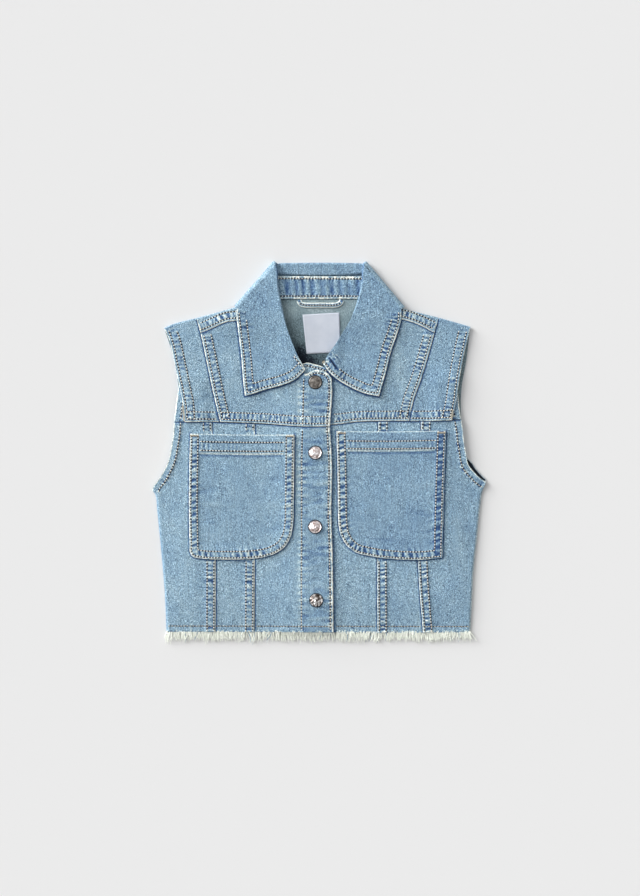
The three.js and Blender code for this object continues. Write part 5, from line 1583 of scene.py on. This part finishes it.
def slit_path():
    """A dark tube of painted shade in the gap that opens along the inner row at the right leaf's front end.
    """
    xy = at(END_SLIT, np.linspace(0, 1, 5))
    return np.column_stack([xy, Ground("collar_fall").height(xy[:, 0], xy[:, 1]) - 0.1])


# Frayed hem
FRAY_WISPS = (-151, -106, -66, 58, 101)  # the seams, where the threads hang in longer tufts


def make_fray():
    rng = np.random.default_rng(7)
    gap_x = LEFT["front_edge"][0][0]
    rows = (
        ("fray_left", -153.0, gap_x, 340, lambda x, y: left_base(x, y) + CLOTH / 2),
        ("fray_right", gap_x + 1.8, 150.4, 290, lambda x, y: front_base(x, y) + CLOTH / 2),
        ("fray_back", -151.0, 148.0, 300, lambda x, y: back_top(x, y) - CLOTH / 2),
    )
    steps = np.linspace(0, 1, 7)
    for name, start, end, count, height in rows:
        x = start + (end - start) * (np.arange(count) + rng.random(count)) / count
        clump = noise(x, 0 * x, 3.4, 211) + 0.7 * noise(x, 0 * x, 1.3, 212)
        wisp = sum(bump_at(x - at_seam, 2.5) for at_seam in FRAY_WISPS)
        length = 9.3 + 1.1 * clump + 2.2 * wisp + rng.normal(0, 1.4, count)
        stray = rng.random(count) < 0.03
        length = np.clip(np.where(stray, length + 2.5 * rng.random(count), length), 3.5, 13.5)
        lean = 1.5 * clump + rng.normal(0, 1.7, count)
        lean += 3.2 * np.sign(x) * smooth(6, 0, np.minimum(x - start, end - x)) * (np.abs(x) > 100)
        curl = rng.normal(0, 1.2, count)
        root_y = HEM_Y + 1.2 + 0.7 * noise(x, 0 * x, 1.6, 213)
        root_z = height(x, np.full(count, HEM_Y)) + rng.uniform(-0.1, 0.5, count)
        low = rng.uniform(2.0, 2.6, count)
        fall = smooth(0, 0.6, steps)
        px = x[:, None] + lean[:, None] * steps ** 1.4 + curl[:, None] * np.sin(steps * math.pi)
        py = root_y[:, None] - length[:, None] * steps
        pz = root_z[:, None] * (1 - fall) + np.minimum(low, root_z)[:, None] * fall
        width = np.outer(rng.uniform(0.22, 0.44, count), np.array([1.1, 1.05, 1.0, 0.9, 0.75, 0.5, 0.25]))
        blue = rng.random(count) < 0.02
        paths = np.stack([px, py, pz], -1)
        keep(tubes(f"{name}_threads", paths[~blue], width[~blue], 6, FRAY, 0.5), "threads", name)
        keep(tubes(f"{name}_blue_threads", paths[blue], width[blue], 6, FRAY_BLUE, 0.5), "threads")


# Snaps
SNAP_PROFILE = [
    (0.0, 2.9), (1.5, 2.82), (3.0, 2.52), (4.2, 2.08), (5.0, 1.68), (5.3, 1.58), (5.55, 1.66), (5.85, 1.74),
    (6.15, 1.6), (6.4, 1.25), (6.45, 0.95), (6.55, 0.75), (7.1, 0.68), (7.15, 0.3), (7.1, 0.0), (0.0, 0.0),
]
SNAP_FLANGE, SNAP_DISH, SNAP_DISH_Z = 6.5, 5.3, 1.58
SNAPS = [  # x, y, slopes to the right and to the collar, height of the dome and of the relief, finish
    (-4.7, 69.7, 0.0, 0.03, 0.3, 0.9, BRONZE), (-4.7, -0.6, 0.13, -0.19, 0.6, 1.0, NICKEL),
    (-4.9, -74.6, 0.13, -0.19, 0.6, 1.0, NICKEL), (-3.7, -147.9, -0.02, -0.12, 0.9, 1.6, STEEL),
]


def make_snap(index, x, y, lean_x, lean_y, doming, relief, finish):
    """A cap with a thin rolled rim and a low dome with a plain hammered relief."""
    segments = 64
    fine = curve(SNAP_PROFILE[:-2], 4)
    profile = np.vstack([fine, SNAP_PROFILE[-2:]])
    angle = np.arange(segments) * 2 * math.pi / segments
    r, z = profile[:, 0][:, None], profile[:, 1][:, None]
    dome = smooth(SNAP_DISH, 4.4, r) * (z > 1)
    z = np.where(r < SNAP_DISH, SNAP_DISH_Z + (z - SNAP_DISH_Z) * doming, z)
    px, py = r * np.cos(angle), r * np.sin(angle)
    hammered = 0.24 * noise(px + index * 20, py, 1.5, 221) + 0.1 * noise(px, py + index * 20, 0.8, 222)
    pz = z + relief * hammered * dome * (0.25 + 0.75 * smooth(1.2, -0.6, py))
    centre = Ground("centre_panel_left", "front_yoke_left").height([x], [y])[0]
    pz = pz + centre - 0.35 + (px * lean_x + py * lean_y) * (r < SNAP_FLANGE)
    points = laid(px + x, py + y, pz)
    ids = np.arange(pz.size).reshape(pz.shape)
    after = np.roll(ids, -1, axis=1)
    quads = np.stack([ids[1:], after[1:], after[:-1], ids[:-1]], -1).reshape(-1, 4)
    # The flange round the cap takes the near-black outline finish: painted shadow.
    dark = np.repeat(profile[1:, 0] > SNAP_FLANGE, segments)
    obj = mesh_object(f"snap_cap_{index}", points.reshape(-1, 3), [quads], [finish, SNAP_OUTLINE_SHADE], dark)
    keep(obj, "metal", f"snap_{index}")


make_back_body()
make_back_yoke()
for vest_side in SIDES:
    make_shoulder_panel(vest_side)
    make_under_yoke(vest_side)
    make_front_yoke(vest_side)
    make_lower_fronts(vest_side)
    make_pocket(vest_side)
    make_stand_front(vest_side)
make_collar_fall()
make_stand_back()
HANGER_MIDDLE = make_hanger_loop()
make_label()
make_sewing()
make_fray()
for number, snap in enumerate(SNAPS, 1):
    make_snap(number, *snap)


# Stage
def make_stage():
    mesh = bpy.data.meshes.new("table_top")
    reach, low = 6.0, -0.0002
    corners = [(-reach, -reach, low), (reach, -reach, low), (reach, reach, low), (-reach, reach, low)]
    mesh.from_pydata(corners, [], [(0, 1, 2, 3)])
    table = bpy.data.objects.new("table_top", mesh)
    bpy.context.scene.collection.objects.link(table)
    paint = {"Base Color": (0.8, 0.8, 0.8, 1), "Roughness": 0.9, "Specular IOR Level": 0.0}
    mesh.materials.append(Look("table_paint").made_of(paint))


SKY, SKY_TILT = 0.56, 0.34
WINDOWS = [  # name, light on the table, elevation, heading, width of the source
    ("high_window", 0.85, 36, 150, 26),
    ("low_window", 0.65, 11.5, 148, 30),
]


def make_light():
    """An overcast room, brighter towards the window at the top left, and the window's own soft light."""
    world = bpy.data.worlds.new("studio")
    bpy.context.scene.world = world
    world.use_nodes = True
    w = Wiring(world.node_tree)
    direction = w.nodes.new("ShaderNodeTexCoord").outputs["Generated"]
    towards = w.nodes.new("ShaderNodeVectorMath")
    towards.operation = "DOT_PRODUCT"
    w.set(towards.inputs[0], direction)
    w.set(towards.inputs[1], (-0.5, 0.86, 0))
    background = w.nodes["Background"].inputs
    w.set(background["Strength"], w.math("MULTIPLY_ADD", towards.outputs["Value"], SKY_TILT, SKY))
    w.set(background["Color"], (1, 1, 1, 1))
    for name, on_table, elevation, heading, angle in WINDOWS:
        sun = bpy.data.lights.new(name, "SUN")
        sun.energy = on_table / math.sin(math.radians(elevation))
        sun.angle = math.radians(angle)
        lamp = bpy.data.objects.new(name, sun)
        lamp.rotation_euler = (0, math.radians(90 - elevation), math.radians(heading))
        bpy.context.scene.collection.objects.link(lamp)


def make_camera():
    camera = bpy.data.cameras.new("camera")
    camera.lens = 100
    camera.sensor_width = 36
    camera.clip_end = 50
    obj = bpy.data.objects.new("camera", camera)
    height = 0.896 * camera.lens / camera.sensor_width
    obj.location = (0, 0.004, height + 0.004)
    bpy.context.scene.collection.objects.link(obj)
    bpy.context.scene.camera = obj


make_stage()
make_light()
make_camera()
bpy.context.scene.view_settings.view_transform = "Standard"
